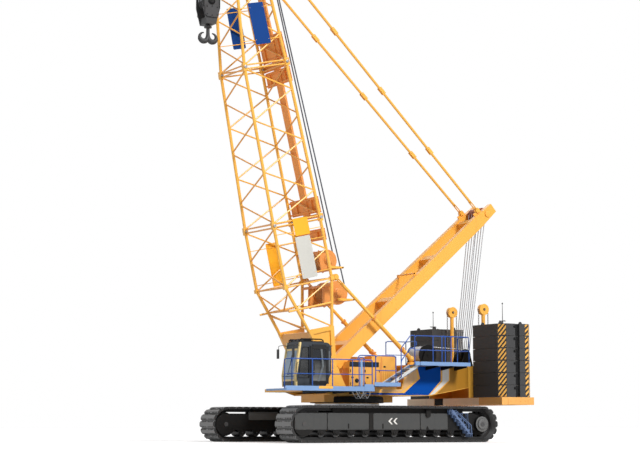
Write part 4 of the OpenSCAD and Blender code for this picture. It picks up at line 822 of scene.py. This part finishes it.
print("counterweight dressed")

# Cab outside: pillars, window seals, handles, mirrors, wiper and roof pieces
cab = {"left": 2.425, "right": 1.385, "doorFace": 2.471, "skin": 0.005,
       "pillar": ((3.745, 2.13), (3.775, 2.54), (3.565, 3.79), (3.495, 3.79), (3.69, 2.54), (3.665, 2.13)),
       "front": ((3.742, 2.13), (3.772, 2.54), (3.562, 3.79)), "frontSkin": 0.006, "frontPosts": (1.40, 2.35),
       "window": [(3.17, 2.44), (3.62, 2.44), (3.45, 3.61), (3.17, 3.61)],
       "screen": [(3.765, 1.47, 2.50), (3.765, 2.34, 2.50), (3.575, 2.34, 3.70), (3.575, 1.47, 3.70)],
       "roofBar": ((3.50, 3.79), (3.50, 3.88), (3.44, 3.92), (2.56, 3.92), (2.48, 3.88), (2.46, 3.79)),
       "wiper": ((3.80, 1.92, 2.60), (3.765, 2.02, 2.92), (3.715, 2.06, 3.22)),
       "handle": ((3.70, 2.43, 2.30), (3.73, 2.49, 2.36), (3.745, 2.49, 2.70), (3.72, 2.49, 2.98), (3.67, 2.43, 3.03)),
       "blade": ((3.775, 2.05, 2.90), (3.655, 2.07, 3.54)), "roofBarY": (2.32, 1.49),
       "roofBox": ((2.62, 3.20), (1.60, 2.20), (3.80, 3.845)), "roofSlats": (2.70, 3.12, 7), "slatY": (1.66, 2.14),
       "ventBars": (2.80, 3.10, 7), "ventX": 2.176, "ventPlate": (2.24, 2.70, 2.32, 3.48, 0.02),
       "mirrors": ((2.50, 0.10), (1.46, -0.04)), "mirror": ((-0.02, -0.07), (0.03, -0.06), (0.03, 0.06), (-0.02, 0.07))}
pillars, seals, fittings, vent = (Mould() for k in range(4))
pillars.plate(cab["pillar"], cab["left"], cab["skin"])
pillars.plate(cab["pillar"], cab["right"], -cab["skin"])
strip = list(cab["front"]) + [(x + cab["frontSkin"], z) for x, z in reversed(cab["front"])]
for y in cab["frontPosts"]:
    pillars.plate(strip, y, 0.06)
for y in (cab["left"] + 0.003, cab["right"] - 0.003):
    seals.pipe(deckPath(y, *cab["window"], *cab["window"][:2]), 0.011, 6)
seals.pipe([onDeck(*p) for p in cab["screen"] + cab["screen"][:2]], 0.012, 6)
for y in cab["roofBarY"]:
    seals.pipe(deckPath(y, *cab["roofBar"]), 0.026)
wiper = [onDeck(*p) for p in cab["wiper"]]
seals.pipe(wiper, 0.010, 6)
seals.bar(*[onDeck(*p) for p in cab["blade"]], 0.016, 0.02)
seals.turned([(0.035, -0.03), (0.035, 0.02), (0.02, 0.03)], wiper[0], (1, 0, 0), 14)
for y, turn in cab["mirrors"]:
    stalk = ((3.60, min(y, 2.42), 3.66), (3.72, y, 3.70), (3.92, y + turn, 3.66), (3.95, y + turn, 3.30))
    fittings.pipe([onDeck(*p) for p in stalk], 0.013)
    fittings.loft([[onDeck(3.95 + dx, y + turn + dy, z) for dx, dy in cab["mirror"]] for z in (3.18, 3.22, 3.50, 3.54)])
fittings.pipe([onDeck(*p) for p in cab["handle"]], 0.014)
fittings.block(*cab["roofBox"])
for x in spread(*cab["roofSlats"]):
    fittings.block((x - 0.015, x + 0.015), cab["slatY"], (3.845, 3.86))
for z in spread(*cab["ventBars"]):
    vent.bar(onDeck(cab["ventX"], 1.65, z), onDeck(cab["ventX"], 2.15, z), 0.035, 0.008, up=(-0.7, 0, -0.7))
vent.plate(corners(*cab["ventPlate"]), cab["left"], 0.003)
pillars.cast("cabPillars", cabCream)
seals.cast("cabSeals", rubber, slot="cab_black")
fittings.cast("cabFittings", cabBlack, bevel=0.006)
vent.cast("cabVents", cabTrim)

# Sliding door: slanting grey post, handle and rail shoes
door = {"post": ((2.60, 3.54), (2.68, 3.54), (2.61, 2.92), (2.82, 2.31), (2.73, 2.31), (2.53, 2.90)), "x": 2.98,
        "handle": ((2.470, 2.72), (2.515, 2.75), (2.515, 2.98), (2.470, 3.01)), "shoes": (2.30, 3.56),
        "lock": (2.93, 2.56, 3.04, 2.66, 0.02), "shoeX": (2.40, 3.04)}
face = cab["doorFace"]
Mould().plate(door["post"], face, 0.005).cast("doorPost", cabTrim, "cab_door")
pull = Mould()
pull.pipe([onDeck(door["x"], y, z) for y, z in door["handle"]], 0.012)
pull.plate(corners(*door["lock"]), face, 0.014)
for z in door["shoes"]:
    pull.block(door["shoeX"], (face, face + 0.012), (z - 0.02, z + 0.02))
pull.cast("doorFittings", cabBlack, "cab_door", 0.004)
print("cab dressed")

# Driver's seat: two swelled cushions on a sprung foot, with control pods, a screen and pedals
seat = {"x": 2.80, "y": 1.905, "floor": 2.176, "tilt": math.radians(8), "cap": 0.016, "voxel": 0.009,
        "pressure": 4.0, "frames": 20, "seam": 0.007, "seamWide": 0.010, "square": 0.45,
        "cushion": ((0.345, 0.03), (0.36, 0.0), (0.42, 0.0), (0.445, 0.04)), "cushionSeams": (-0.15, 0.15),
        "back": ((-0.055, 0.03), (-0.04, 0.0), (0.03, 0.0), (0.055, 0.04)), "backSeams": (0.20, 0.34, 0.48),
        "bellows": ((0, 0.8), (0.026, 1.0), (0.052, 0.8)),
        "shell": ((-0.20, 0.02), (0.20, 0.02), (0.22, 0.60), (-0.22, 0.60)),
        "pod": ((-0.18, 0.34), (0.28, 0.34), (0.30, 0.50), (0.26, 0.545), (-0.16, 0.545), (-0.20, 0.50)),
        "lever": [(0.045, 0), (0.045, 0.02), (0.03, 0.035), (0.012, 0.05), (0.010, 0.12), (0.024, 0.14), (0.028, 0.18),
                  (0.012, 0.20)],
        "screen": ((-0.44, 0.62), (-0.22, 0.62), (-0.22, 0.82), (-0.44, 0.82)),
        "pedal": ((0.52, 0.0), (0.60, 0.0), (0.66, 0.13), (0.63, 0.14)), "pedals": (-0.14, 0.0, 0.14)}


def seatPlace(u, v, w):  # u forward, v to the left, w up from the cab floor
    return onDeck(seat["x"] + u, seat["y"] + v, seat["floor"] + w)


def backPlace(u, v, w):  # leans back with the backrest
    c, s = math.cos(seat["tilt"]), math.sin(seat["tilt"])
    return seatPlace(-0.20 + u * c - w * s, v, 0.43 + u * s + w * c)


def pad(place, deep, wide, levels):  # stacked rounded outlines, levels of height and inset
    def full(c):
        return math.copysign(abs(c) ** seat["square"], c)
    return Mould().loft([[place((deep / 2 - inset) * full(c), (wide / 2 - inset) * full(s), w) for c, s in circle(36)]
                         for w, inset in levels])


def settled(piece):  # mesh as its modifiers leave it, put in the piece's place
    graph = bpy.context.evaluated_depsgraph_get()
    mesh = bpy.data.meshes.new_from_object(piece.evaluated_get(graph), depsgraph=graph)
    piece.modifiers.clear()
    piece.data = mesh
    return mesh


def plump(piece, channels):  # even mesh, blown up as cloth, then sewn channels
    even = piece.modifiers.new("even", "REMESH")
    even.mode = "VOXEL"
    even.voxel_size = seat["voxel"]
    mesh = settled(piece)
    before = [v.co.copy() for v in mesh.vertices]
    swell = piece.modifiers.new("swell", "CLOTH")
    swell.settings.use_pressure = True
    swell.settings.uniform_pressure_force = seat["pressure"]
    swell.settings.effector_weights.gravity = 0.0
    swell.settings.quality = 4
    swell.point_cache.frame_start = 1
    swell.point_cache.frame_end = seat["frames"]
    for f in range(1, seat["frames"] + 1):
        bpy.context.scene.frame_set(f)
    mesh = settled(piece)
    bpy.context.scene.frame_set(1)
    for old, v in zip(before, mesh.vertices):
        move = v.co - old
        if move.length > seat["cap"]:
            v.co = old + move * (seat["cap"] / move.length)
    for v, normal in zip(mesh.vertices, [v.normal.copy() for v in mesh.vertices]):
        near = min(abs(gauge(v.co)) for gauge in channels)
        v.co = v.co - normal * seat["seam"] * math.exp(-(near / seat["seamWide"]) ** 2)
    mesh.materials.clear()
    mesh.materials.append(seatCloth)
    mesh.shade_smooth()
    smooth = piece.modifiers.new("smooth", "SUBSURF")
    smooth.levels = 1
    smooth.render_levels = 1


seatPad = pad(seatPlace, 0.50, 0.49, seat["cushion"]).cast("seatCushion", seatCloth)
plump(seatPad, [lambda p, d=d: p.y - seat["y"] - d for d in seat["cushionSeams"]])
backPad = pad(lambda u, v, w: backPlace(w, v, u + 0.33), 0.58, 0.47, seat["back"]).cast("backCushion", seatCloth)
backUp = (backPlace(0, 0, 1) - backPlace(0, 0, 0)).normalized()
plump(backPad, [lambda p, at=backPlace(0, 0, w): (p - at).dot(backUp) for w in seat["backSeams"]])
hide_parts("cab_seat")
seatFrame = Mould()
for u, v, low, high in ((0.24, 0.22, 0.0, 0.03), (0.25, 0.24, 0.305, 0.335)):  # foot plate and pan
    seatFrame.loft([[seatPlace(*p, w) for p in oblong(u, v)] for w in (low, high)])
for w in spread(0.04, 0.28, 5):
    seatFrame.loft([[seatPlace(*p, w + h) for p in oblong(0.17 * k, 0.15 * k)] for h, k in seat["bellows"]])
seatFrame.loft([[backPlace(u, v, w) for v, w in seat["shell"]] for u in (-0.085, -0.062)])
for v in (-0.31, 0.31):
    seatFrame.plate(seat["pod"], v - 0.055, 0.11, seatPlace)
    seatFrame.turned(seat["lever"], seatPlace(0.20, v, 0.545), (0.15, 0, 1), 18)
seatFrame.loft([[seatPlace(u, v, w) for v, w in seat["screen"]] for u in (0.62, 0.655)])
seatFrame.pipe([seatPlace(u, -0.33, w) for u, w in ((0.66, 0.0), (0.67, 0.35), (0.65, 0.66))], 0.018)
for v in seat["pedals"]:
    seatFrame.plate(seat["pedal"], v - 0.04, 0.08, seatPlace)
seatFrame.cast("seatFrame", cabBlack, bevel=0.006)
print("seat made")


def wind(mould, axis, core, wound, lay):  # rope turns side by side on a drum
    profile = [(core, -lay["end"])]
    for k in range(lay["turns"]):
        y = lay["first"] + k * lay["pitch"]
        profile += [(wound - lay["groove"], y), (wound, y + lay["flat"][0]), (wound, y + lay["flat"][1])]
    mould.turned(profile + [(core, lay["end"])], axis, across, 32)


# Boom hoist winches: lines to the head, turns on the drums, gear caps and rope guides
rope = {"radius": 0.028, "luffRadius": 0.018, "luffCount": 8, "luffWide": 0.44, "fall": 0.014, "rear": -1.145,
        "end": 18.55, "luffAhead": 0.22, "lowerX": -5.65, "lowerZ": 3.56, "mastX": 0.04, "mastHead": 10.42}
winches = ({"x": -1.337, "s": 2.945, "wound": 0.45, "core": 0.38, "flange": 0.48, "ropeY": 0.46},
           {"x": -1.175, "s": 4.29, "wound": 0.39, "core": 0.33, "flange": 0.43, "ropeY": 0.40})
hoistLay = {"end": 0.484, "turns": 25, "first": -0.475, "pitch": 0.038, "groove": 0.016, "flat": (0.012, 0.026)}
gear = {"cap": [(0.20, 0.585), (0.20, 0.62), (0.15, 0.65), (0.15, 0.70), (0.06, 0.72), (0.03, 0.71)], "bolts": 12}
hoistLines, windings, gears, guides = (Mould() for k in range(4))
for w in winches:
    x, s = w["x"], w["s"]
    reach = x - w["flange"] - 0.20
    axis = onBoom(x, 0, s)
    wind(windings, axis, w["core"], w["wound"], hoistLay)
    low, high = onBoom(x - w["wound"] + 0.012, w["ropeY"], s), onBoom(rope["rear"], w["ropeY"], rope["end"])
    hoistLines.tube(low, high, rope["radius"])
    for side in sides:
        out = (0, side, 0)
        gears.turned(gear["cap"], axis, out, 28)
        for radius, level in ((0.175, 0.62), (w["flange"] - 0.035, 0.49)):
            for dx, dz in circle(gear["bolts"], radius):
                gears.bolt(axis + Vector((dx, side * level, dz)), out, 0.014, 0.014)
        arm = ((x + 0.10, s - 0.20), (x + 0.10, s - 0.32), (reach, s - 0.44), (reach, s - 0.38))
        guides.plate(arm, side * 0.595, side * 0.025, onBoom)
    guides.tube(onBoom(reach + 0.05, -0.62, s - 0.41), onBoom(reach + 0.05, 0.62, s - 0.41), 0.035, 14)
hoistLines.cast("hoistLines", darkRope, "boom")
windings.cast("drumWindings", greasedRope, "boom")
gears.cast("winchGears", orangePaint, "boom")
guides.cast("winchGuides", yellowPaint, "boom", 0.004)
print("hoist winches dressed")

# Rope sheaves behind the boom head
deflect = {"x": -0.80, "half": 0.80, "sheave": [(0.05, -0.03), (0.36, -0.03), (0.375, -0.025), (0.325, 0),
                                                (0.375, 0.025), (0.36, 0.03), (0.05, 0.03)]}
deflector = Mould()
for w in reversed(winches):
    deflector.turned(deflect["sheave"], onBoom(deflect["x"], w["ropeY"], rope["end"]), across, 28)
ends = [onBoom(deflect["x"], side * deflect["half"], rope["end"]) for side in sides]
deflector.tube(*ends, 0.045, 14)
for side, end in zip(sides, ends):
    deflector.bar(end, onBoom(-0.30, side * deflect["half"], rope["end"]), 0.05, 0.16)
deflector.cast("headDeflector", sheaveRed, "boom")

# Luffing ropes to the mast head, rope falls to the hook block and the luffing drum
for k in range(rope["luffCount"]):
    y = (k / (rope["luffCount"] - 1) - 0.5) * rope["luffWide"]
    ahead = rope["luffAhead"] if k % 2 else -rope["luffAhead"]
    low = onDeck(rope["lowerX"] + ahead, y, rope["lowerZ"])
    high = onMast(rope["mastX"] + ahead * 0.75, y * 1.5, rope["mastHead"] - ahead * 0.85)
    piece = Mould().tube(low, high, rope["luffRadius"]).cast(f"luffingRope{k}", ropeGrey, None)
    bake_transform(piece)
falls = {"x": (6.157665, 6.778265), "y": (-0.195, -0.065, 0.065, 0.195), "low": 17.12, "high": 20.584}
ropeFalls = Mould()
for x in falls["x"]:
    for y in falls["y"]:
        ropeFalls.tube((x, y, falls["high"]), (x, y, falls["low"]), rope["fall"], 12)
piece = ropeFalls.cast("ropeFalls", ropeGrey, None)
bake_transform(piece)
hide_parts("hoist_ropes")
luffLay = {"end": 0.444, "turns": 27, "first": -0.432, "pitch": 0.032, "groove": 0.012, "flat": (0.010, 0.022)}
luffDrum = Mould()
wind(luffDrum, onDeck(-3.6, 0, 3.52), 0.30, 0.367, luffLay)
luffDrum.tube(onDeck(-3.62, 0.10, 3.885), onDeck(-5.62, 0.10, 3.80), rope["luffRadius"])
luffDrum.cast("luffingTurns", ropeGrey)
print("luffing ropes reeved")

# Plain boards on the boom, hung on rails between the chords
stations = ((3.59, 1.1575, 1.315, -0.825), (6.025, 1.1575, 1.315, -0.825),
            (12.3, 0.99, 1.15, -0.75), (17.7, 0.83, 0.47, -0.56))


def boomAt(s):  # half width, front chord and rear chord at s
    for a, b in zip(stations, stations[1:]):
        if s <= b[0]:
            return mixed(a[1:], b[1:], (s - a[0]) / (b[0] - a[0]))
    return Vector(stations[-1][1:])


def halfWide(s):
    return boomAt(s)[0]


def behind(s, lift, y):  # behind the rear chords
    return onBoom(boomAt(s)[2] - lift, y, s)


boards = (("boardWhite", boardWhite, 1, -0.16, 3.78, 0.52, 5.43),
          ("boardYellowNear", boardYellow, 1, -0.20, 5.47, 0.48, 6.15),
          ("boardYellowFar", boardYellow, -1, 0.0, 3.63, 0.48, 5.38),
          ("boardBlueNear", boardBlue, 1, -0.20, 13.10, 0.48, 14.75),
          ("boardBlueFar", boardBlue, -1, -0.25, 13.27, 0.33, 14.93))
boardRails = Mould()
for name, finish, side, x0, s0, x1, s1 in boards:
    outline = corners(x0, s0, x1, s1, 0.03)
    board = Mould().loft([[onBoom(x, side * (halfWide(s) + off), s) for x, s in outline] for off in (0.078, 0.090)])
    board.cast(name, finish, "boom", 0.003)
    for s in (s0 + 0.18, s1 - 0.18):
        wide, front, rear = boomAt(s)
        y = side * (wide + 0.068)
        boardRails.bar(onBoom(rear - 0.03, y, s), onBoom(front + 0.03, y, s), 0.022, 0.03)
        for x in (x0 + 0.06, x1 - 0.06):
            boardRails.bolt(onBoom(x, side * (wide + 0.088), s), (0, side, 0), 0.014, 0.010)
boardRails.cast("boardRails", yellowPaint, "boom")
print("boom boards hung")

# Pins and keepers at the section joints, landing plates and catwalk edges
pin = {"joints": (6.025, 12.3), "body": [(0.035, -0.125), (0.046, -0.118), (0.046, 0.10), (0.062, 0.10), (0.062, 0.125),
                                         (0.04, 0.13)],
       "heads": ((-0.75, 17.28, 20, [(0.05, 0.0), (0.075, 0.01), (0.075, 0.05), (0.04, 0.06)]),
                 (0.88, 18.5, 28, [(0.11, 0.0), (0.14, 0.01), (0.14, 0.035), (0.06, 0.05), (0.03, 0.045)]))}
deck = {"plates": ((12.48, 13.52), (11.52, 12.12), (6.22, 6.86), (5.12, 5.58)), "plateLifts": (0.118, 0.130),
        "ribs": (-0.6, 0.6), "runs": ((6.12, 12.2), (12.4, 17.6)), "curbs": (0.222, -0.222), "rungStep": 0.42}
pins, landings, curbs = (Mould() for k in range(3))
for side in sides:
    for s in pin["joints"]:
        wide, *chords = boomAt(s)
        for x in chords:
            pins.turned(pin["body"], onBoom(x, side * wide, s), (0, side, 0), 18)
            pins.hoop(onBoom(x, side * (wide - 0.105), s), (1, 0, 0), 0.035, 0.006, 14, 6)
    for x, s, count, profile in pin["heads"]:
        pins.turned(profile, onBoom(x, side * 0.86, s), (0, side, 0), count)
for a, b in deck["plates"]:
    p, q = halfWide(a) - 0.02, halfWide(b) - 0.02
    outline = ((p, a), (q, b), (-q, b), (-p, a))
    landings.loft([[behind(s, lift, y) for y, s in outline] for lift in deck["plateLifts"]])
    for y in deck["ribs"]:  # these carry the plate
        p, q = onBoom(boomAt(a)[2] - 0.09, y, a + 0.05), onBoom(boomAt(b)[2] - 0.09, y, b - 0.05)
        landings.bar(p, q, 0.03, 0.06)
    for s in (a + 0.08, b - 0.08):
        landings.bar(behind(s, 0.075, -halfWide(s)), behind(s, 0.075, halfWide(s)), 0.05, 0.08, up=upward)
for a, b in deck["runs"]:
    for y in deck["curbs"]:
        curbs.bar(behind(a, 0.135, y), behind(b, 0.135, y), 0.016, 0.05)
    for s in spread(a + 0.1, b - 0.1, int((b - a) / deck["rungStep"])):
        curbs.bar(behind(s, 0.125, -0.22), behind(s, 0.125, 0.22), 0.022, 0.022, up=upward)
pins.cast("boomPins", brightSteel, "boom")
landings.cast("boomLandings", brownDeck, "boom")
curbs.cast("catwalkCurbs", orangePaint, "boom")
print("boom sections pinned")

# Pendant links and backstop collars
pendant = {"joints": (0.23, 0.455, 0.672, 0.89), "half": 0.17, "deep": 0.135, "thick": 0.018, "gap": 0.064,
           "pin": [(0.024, -0.092), (0.034, -0.088), (0.034, 0.088), (0.024, 0.092)],
           "collar": [(0.085, -0.04), (0.115, -0.03), (0.115, 0.03), (0.085, 0.04)], "collars": (0.50, 0.88)}
plates = Mould()
collars = Mould()
for side in sides:
    low = onMast(0.38, side * 0.575, 10.15)
    top = onBoom(-0.75, side * 0.83, 17.28)
    along = (top - low).normalized()
    for k in pendant["joints"]:
        at = mixed(low, top, k)
        for y in (-pendant["gap"], pendant["gap"]):
            mid = at + Vector((0, y, 0))
            plates.bar(mid - along * pendant["half"], mid + along * pendant["half"], pendant["thick"], pendant["deep"])
        for d in (-0.11, 0.11):
            plates.turned(pendant["pin"], at + along * d, across, 16)
    p, q = onBoom(-1.015, side * 1.1575, 3.59), onDeck(-2.32, side * 1.1575, 3.30)
    for k in pendant["collars"]:
        collars.turned(pendant["collar"], mixed(p, q, k), q - p, 24)
plates.cast("pendantLinks", yellowPaint, "boom")
collars.cast("backstopCollars", orangePaint, "boom")
print("stays dressed")

# Mast: bolted cross boxes, pin caps and a rope roller
mast = {"footY": 0.75, "headY": 0.575, "long": 10.15, "boxes": (1.5, 4.3, 7.1), "roller": 5.9,
        "ear": ((0.24, -0.07), (0.24, 0.07), (0.37, 0.03), (0.37, -0.03)),
        "cap": [(0.10, 0), (0.13, 0.01), (0.13, 0.04), (0.05, 0.055)]}


def legY(m):
    return mast["footY"] + (mast["headY"] - mast["footY"]) * m / mast["long"]


mastFit = Mould()
m, y = mast["roller"], legY(mast["roller"])
mastFit.tube(onMast(0.34, y - 0.02, m), onMast(0.34, 0.02 - y, m), 0.035, 14)
for side in sides:
    mastFit.loft([[onMast(x, side * (y - d), m + t) for x, t in mast["ear"]] for d in (0.02, 0.05)])
    mastFit.turned(mast["cap"], onMast(0, side * 0.70, 10.42), (0, side, 0), 26)
    for box in mast["boxes"]:
        for x, t in oblong(0.16, 0.12):
            mastFit.bolt(onMast(x, side * (legY(box) + 0.12), box + t), (0, side, 0), 0.020, 0.018)
mastFit.cast("mastFittings", mastPaint, "mast")
print("mast dressed")

# Hook block: weight plates, edge bands, axle caps and bolts
block = {"x": 6.335625, "face": 0.31, "axle": 17.12, "low": 16.46, "high": 17.30, "half": 0.30, "thick": 0.05,
         "band": 0.345, "bandHalf": 0.022,
         "cap": [(0.15, 0), (0.15, 0.025), (0.11, 0.04), (0.11, 0.06), (0.05, 0.07), (0.03, 0.06)],
         "bolts": ((-0.22, 16.56), (0.22, 16.56), (-0.22, 16.86), (0.22, 16.86), (0, 16.53), (0, 16.89))}
weights = Mould()
bands = Mould()
for side in sides:
    x, axle, face, out = block["x"], block["axle"], side * block["face"], (0, side, 0)
    outline = corners(x - block["half"], block["low"], x + block["half"], axle - 0.17, 0.10)
    weights.plate(outline, face, side * block["thick"])
    for edge in (x - block["band"], x + block["band"]):
        outline = corners(edge - block["bandHalf"], axle - 0.27, edge + block["bandHalf"], block["high"], 0.01)
        bands.plate(outline, face, side * 0.02)
    bands.turned(block["cap"], onDeck(x, face, axle), out, 28)
    for dx, z in block["bolts"]:
        bands.bolt(onDeck(x + dx, face + side * block["thick"], z), out, 0.024, 0.020)
weights.cast("blockWeights", hookGrey, "hook_block", 0.012)
bands.cast("blockFittings", blackPaint, "hook_block", 0.004)
print("hook block dressed")

# Double hook, thick in the bow and tapering to its tips
bow = {"x": block["x"], "z": 15.716, "reach": 0.190, "radius": 0.168, "start": math.radians(168),
       "end": math.radians(452), "steps": 30, "thick": 0.074, "belly": 0.030, "taper": 0.052, "taperFrom": 0.60,
       "deep": 1.15, "shank": [(0.03, 0), (0.085, 0.01), (0.085, 0.12), (0.072, 0.24), (0.068, 0.46), (0.15, 0.47),
                               (0.15, 0.53), (0.10, 0.535), (0.10, 0.56)]}
hookForm = Mould()
for way in sides:
    rings = []
    for share in spread(0, 1, bow["steps"]):
        t = bow["start"] + (bow["end"] - bow["start"]) * share
        late = max(0.0, share - bow["taperFrom"]) / (1 - bow["taperFrom"])
        thick = bow["thick"] + bow["belly"] * math.sin(math.pi * min(1.0, share * 1.5)) - bow["taper"] * late
        out = Vector((way * math.cos(t), 0, math.sin(t)))
        mid = onDeck(bow["x"] + way * bow["reach"], 0, bow["z"]) + out * bow["radius"]
        rings.append([mid + out * a + Vector(across) * b * bow["deep"] for a, b in circle(16, thick)])
    hookForm.loft(rings)
hookForm.turned(bow["shank"], onDeck(bow["x"], 0, 15.62), upward, 28)
hookForm.bolt(onDeck(bow["x"], 0, 16.178), upward, 0.085, 0.03)
hook = hookForm.cast("hookForged", hookGrey, "hook")
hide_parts("ramshorn_hook")
print("hook forged")

# Web plates beside the boom foot
web = {"face": 1.135, "thick": 0.045,
       "outline": ((0.70, 1.80), (-0.42, 1.76), (-0.30, 0.86), (0.20, 0.70), (0.52, 1.20))}
webs = Mould()
for side in sides:
    webs.plate(web["outline"], side * web["face"], side * web["thick"], onBoom)
webs.cast("footWebs", yellowPaint, "boom", 0.006)

# Skirt round the slewing ring, closing plates on the tray's ends, and pale plates on its front that are painted light
# over its shaded face
shroud = [(1.36, 1.535), (1.47, 1.535), (1.47, 1.70), (1.44, 1.785), (1.36, 1.785), (1.36, 1.535)]
Mould().turned(shroud, onDeck(0, 0, 0), upward, 48).cast("ringSkirt", blackPaint, bevel=0.006)
tray = {"front": -5.15, "end": 3.40, "thick": 0.022, "low": 1.485, "high": 1.765,
        "panels": ((-3.38, -1.35), (-0.70, 1.84)), "hatch": (-1.33, -0.72)}
trayEnds = Mould()
for side in sides:
    trayEnds.plate(corners(-6.44, 1.475, -5.46, 1.77, 0.01), side * tray["end"], side * tray["thick"])
    for x in spread(-6.30, -5.60, 4):
        trayEnds.bolt(onDeck(x, side * (tray["end"] + tray["thick"]), 1.62), (0, side, 0), 0.02, 0.016)
# painted light: pale plates over the tray's shaded front face
paintedLightPlates = Mould()
tall = (tray["low"], tray["high"])
for ys in tray["panels"]:
    paintedLightPlates.block((tray["front"], tray["front"] + 0.012), ys, tall)
paintedLightPlates.cast("trayFrontPaintedLight", paintedLightPale, bevel=0.004)
Mould().block((tray["front"], tray["front"] + 0.008), tray["hatch"], tall).cast("trayHatch", rubber)
trayEnds.cast("trayEnds", trayPaint, bevel=0.004)
print("slewing skirt and tray closed")

# Rails round the walkways, bent from pipe
railRuns = (((4.18, 2.34), (4.18, 2.905), (0.63, 2.905), "low"), ((0.47, 2.905), (-0.456, 2.905), "mid"),
            ((-1.74, 2.305), (-4.355, 2.305), (-4.355, 1.50), "high"),
            ((-3.345, -2.305), (-4.355, -2.305), (-4.355, -1.50), "high"), ((0.855, -3.005), (-3.255, -3.005), "low"))
railFoot = [(0.045, 0), (0.045, 0.012), (0.028, 0.02), (0.026, 0.05)]


def bent(points, turn):  # corners rounded with three points
    path = [points[0]]
    for before, at, after in zip(points, points[1:], points[2:]):
        into = (at - before).normalized()
        out = (after - at).normalized()
        path += [at - into * turn, at + (out - into) * turn * 0.3, at + out * turn]
    return path + [points[-1]]


railings = Mould()
lift = Vector((0, 0, rail["tall"]))
for *run, level in railRuns:
    spots = [onDeck(x, y, walk[level]) for x, y in run]
    railings.pipe(bent([spots[0]] + [p + lift for p in spots] + [spots[-1]], rail["turn"]), rail["radius"])
    railings.pipe(bent([p + lift * 0.5 for p in spots], rail["turn"]), rail["radius"] * 0.8)
    for p, q in zip(spots, spots[1:]):
        for k in spread(0, 1, max(2, round((q - p).length / rail["post"]) + 1)):
            foot = mixed(p, q, k)
            railings.tube(foot, foot + lift * 0.99, rail["radius"])
            railings.turned(railFoot, foot, upward, 12)
railPiece = railings.cast("walkwayRails", railBlue)
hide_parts("railings")
gateway = {"leaf": (1.06, 2.10, 1.16, 3.14, 0.03), "board": (0.59, 1.97, 1.01, 2.22, 0.02),
           "landing": (((-2.01, -1.72), (2.19, 2.32), (3.01, 3.05)), ((-2.01, -1.72), (2.308, 2.32), (3.05, 3.16)))}
gate = Mould()
gate.plate(corners(*gateway["leaf"]), 2.898, 0.014)
gate.plate(corners(*gateway["board"]), 2.950, 0.008)
for plank in gateway["landing"]:
    gate.block(*plank)
gate.cast("walkwayGate", kickBlue, bevel=0.004)
folded = {"x": (1.35, 1.05), "y": (2.60, 2.90), "side": ((0, 1.95), (-0.18, 1.67), (-0.31, 1.83), (-0.31, 1.95)),
          "rungs": ((-0.09, 1.81), (-0.18, 1.67), (-0.31, 1.83))}
hung = Mould()  # folded step under the walkway's edge
for x in folded["x"]:
    for y in folded["y"]:
        hung.pipe(deckPath(y, *[(x + dx, z) for dx, z in folded["side"]]), 0.018)
    for dx, z in folded["rungs"]:
        hung.tube(*[onDeck(x + dx, y, z) for y in folded["y"]], 0.014)
hung.cast("foldedStep", brightSteel)
print("rails bent")

# Open treads and hangers of the access steps on the track frames
climb = {"top": (-2.56, 0, 1.18), "foot": (-3.38, 0, 0.30), "in": 3.53, "out": 3.66, "treads": 7,
         "hanger": ((-2.72, 1.24), (-3.46, 0.66), (-3.50, 0.24)), "stay": ((-3.10, 0.94), (-3.10, 0.56))}
treadsLow = Mould()
for side in sides:
    y0, y1 = sorted((side * climb["in"], side * climb["out"]))
    for k in spread(0, 1, climb["treads"]):
        x, y, z = mixed(climb["top"], climb["foot"], k)
        treadsLow.block((x - 0.15, x + 0.13), (y0, y1), (z + 0.02, z + 0.045))
        for dx in spread(-0.13, 0.11, 4):
            treadsLow.block((x + dx - 0.009, x + dx + 0.009), (y0 + 0.01, y1 - 0.01), (z - 0.10, z + 0.02))
    for y in (climb["in"] + 0.01, climb["out"]):
        treadsLow.pipe(deckPath(side * y, *climb["hanger"]), 0.018)
        treadsLow.tube(*deckPath(side * y, *climb["stay"]), 0.014)
treadsLow.cast("stepTreads", stepBlue, "undercarriage")
print("access steps hung")

# Floor and light
floor = Mould().box((-320, -320, -0.02), (320, 320, 0.0))
mesh = bpy.data.meshes.new("floor")
mesh.from_pydata(floor.points, [], floor.faces)
ground = bpy.data.objects.new("floor", mesh)
bpy.context.scene.collection.objects.link(ground)
seenBy = ("Is Camera Ray", "Is Glossy Ray", "Is Transmission Ray")
pale = Finish("paleFloor", Base_Color=rgb(240, 240, 240), Roughness=0.7, Emission_Strength=1.0)
rays = [pale.node("ShaderNodeLightPath", out=name) for name in seenBy]
pale.feed("Emission Color", pale.mix((rays[0] + rays[1] + rays[2]).held(), (0, 0, 0, 1), (0.16, 0.16, 0.16, 1)))
mesh.materials.append(pale.material)

light = {"ambient": 0.34, "sun": (2.85, 12, (-0.10, 0.80, 0.62)), "fill": (0.7, 40, (-0.6, -0.7, 0.5))}
world = bpy.data.worlds.new("studio")
world.use_nodes = True
bpy.context.scene.world = world
tree = world.node_tree
path = tree.nodes.new("ShaderNodeLightPath")
rays = [Wire(tree, path.outputs[name]) for name in seenBy]
sky = tree.nodes["Background"]
sky.inputs["Color"].default_value = (1, 1, 1, 1)
glow = (rays[0] + rays[1] + rays[2]).least(1.0) * (1 - light["ambient"]) + light["ambient"]
tree.links.new(glow.socket, sky.inputs["Strength"])
for name in ("sun", "fill"):
    strength, soft, source = light[name]
    lamp = bpy.data.objects.new(name, bpy.data.lights.new(name, "SUN"))
    lamp.data.energy = strength
    lamp.data.angle = math.radians(soft)
    lamp.rotation_euler = Vector(source).to_track_quat("Z", "Y").to_euler()
    bpy.context.scene.collection.objects.link(lamp)
print("lit")
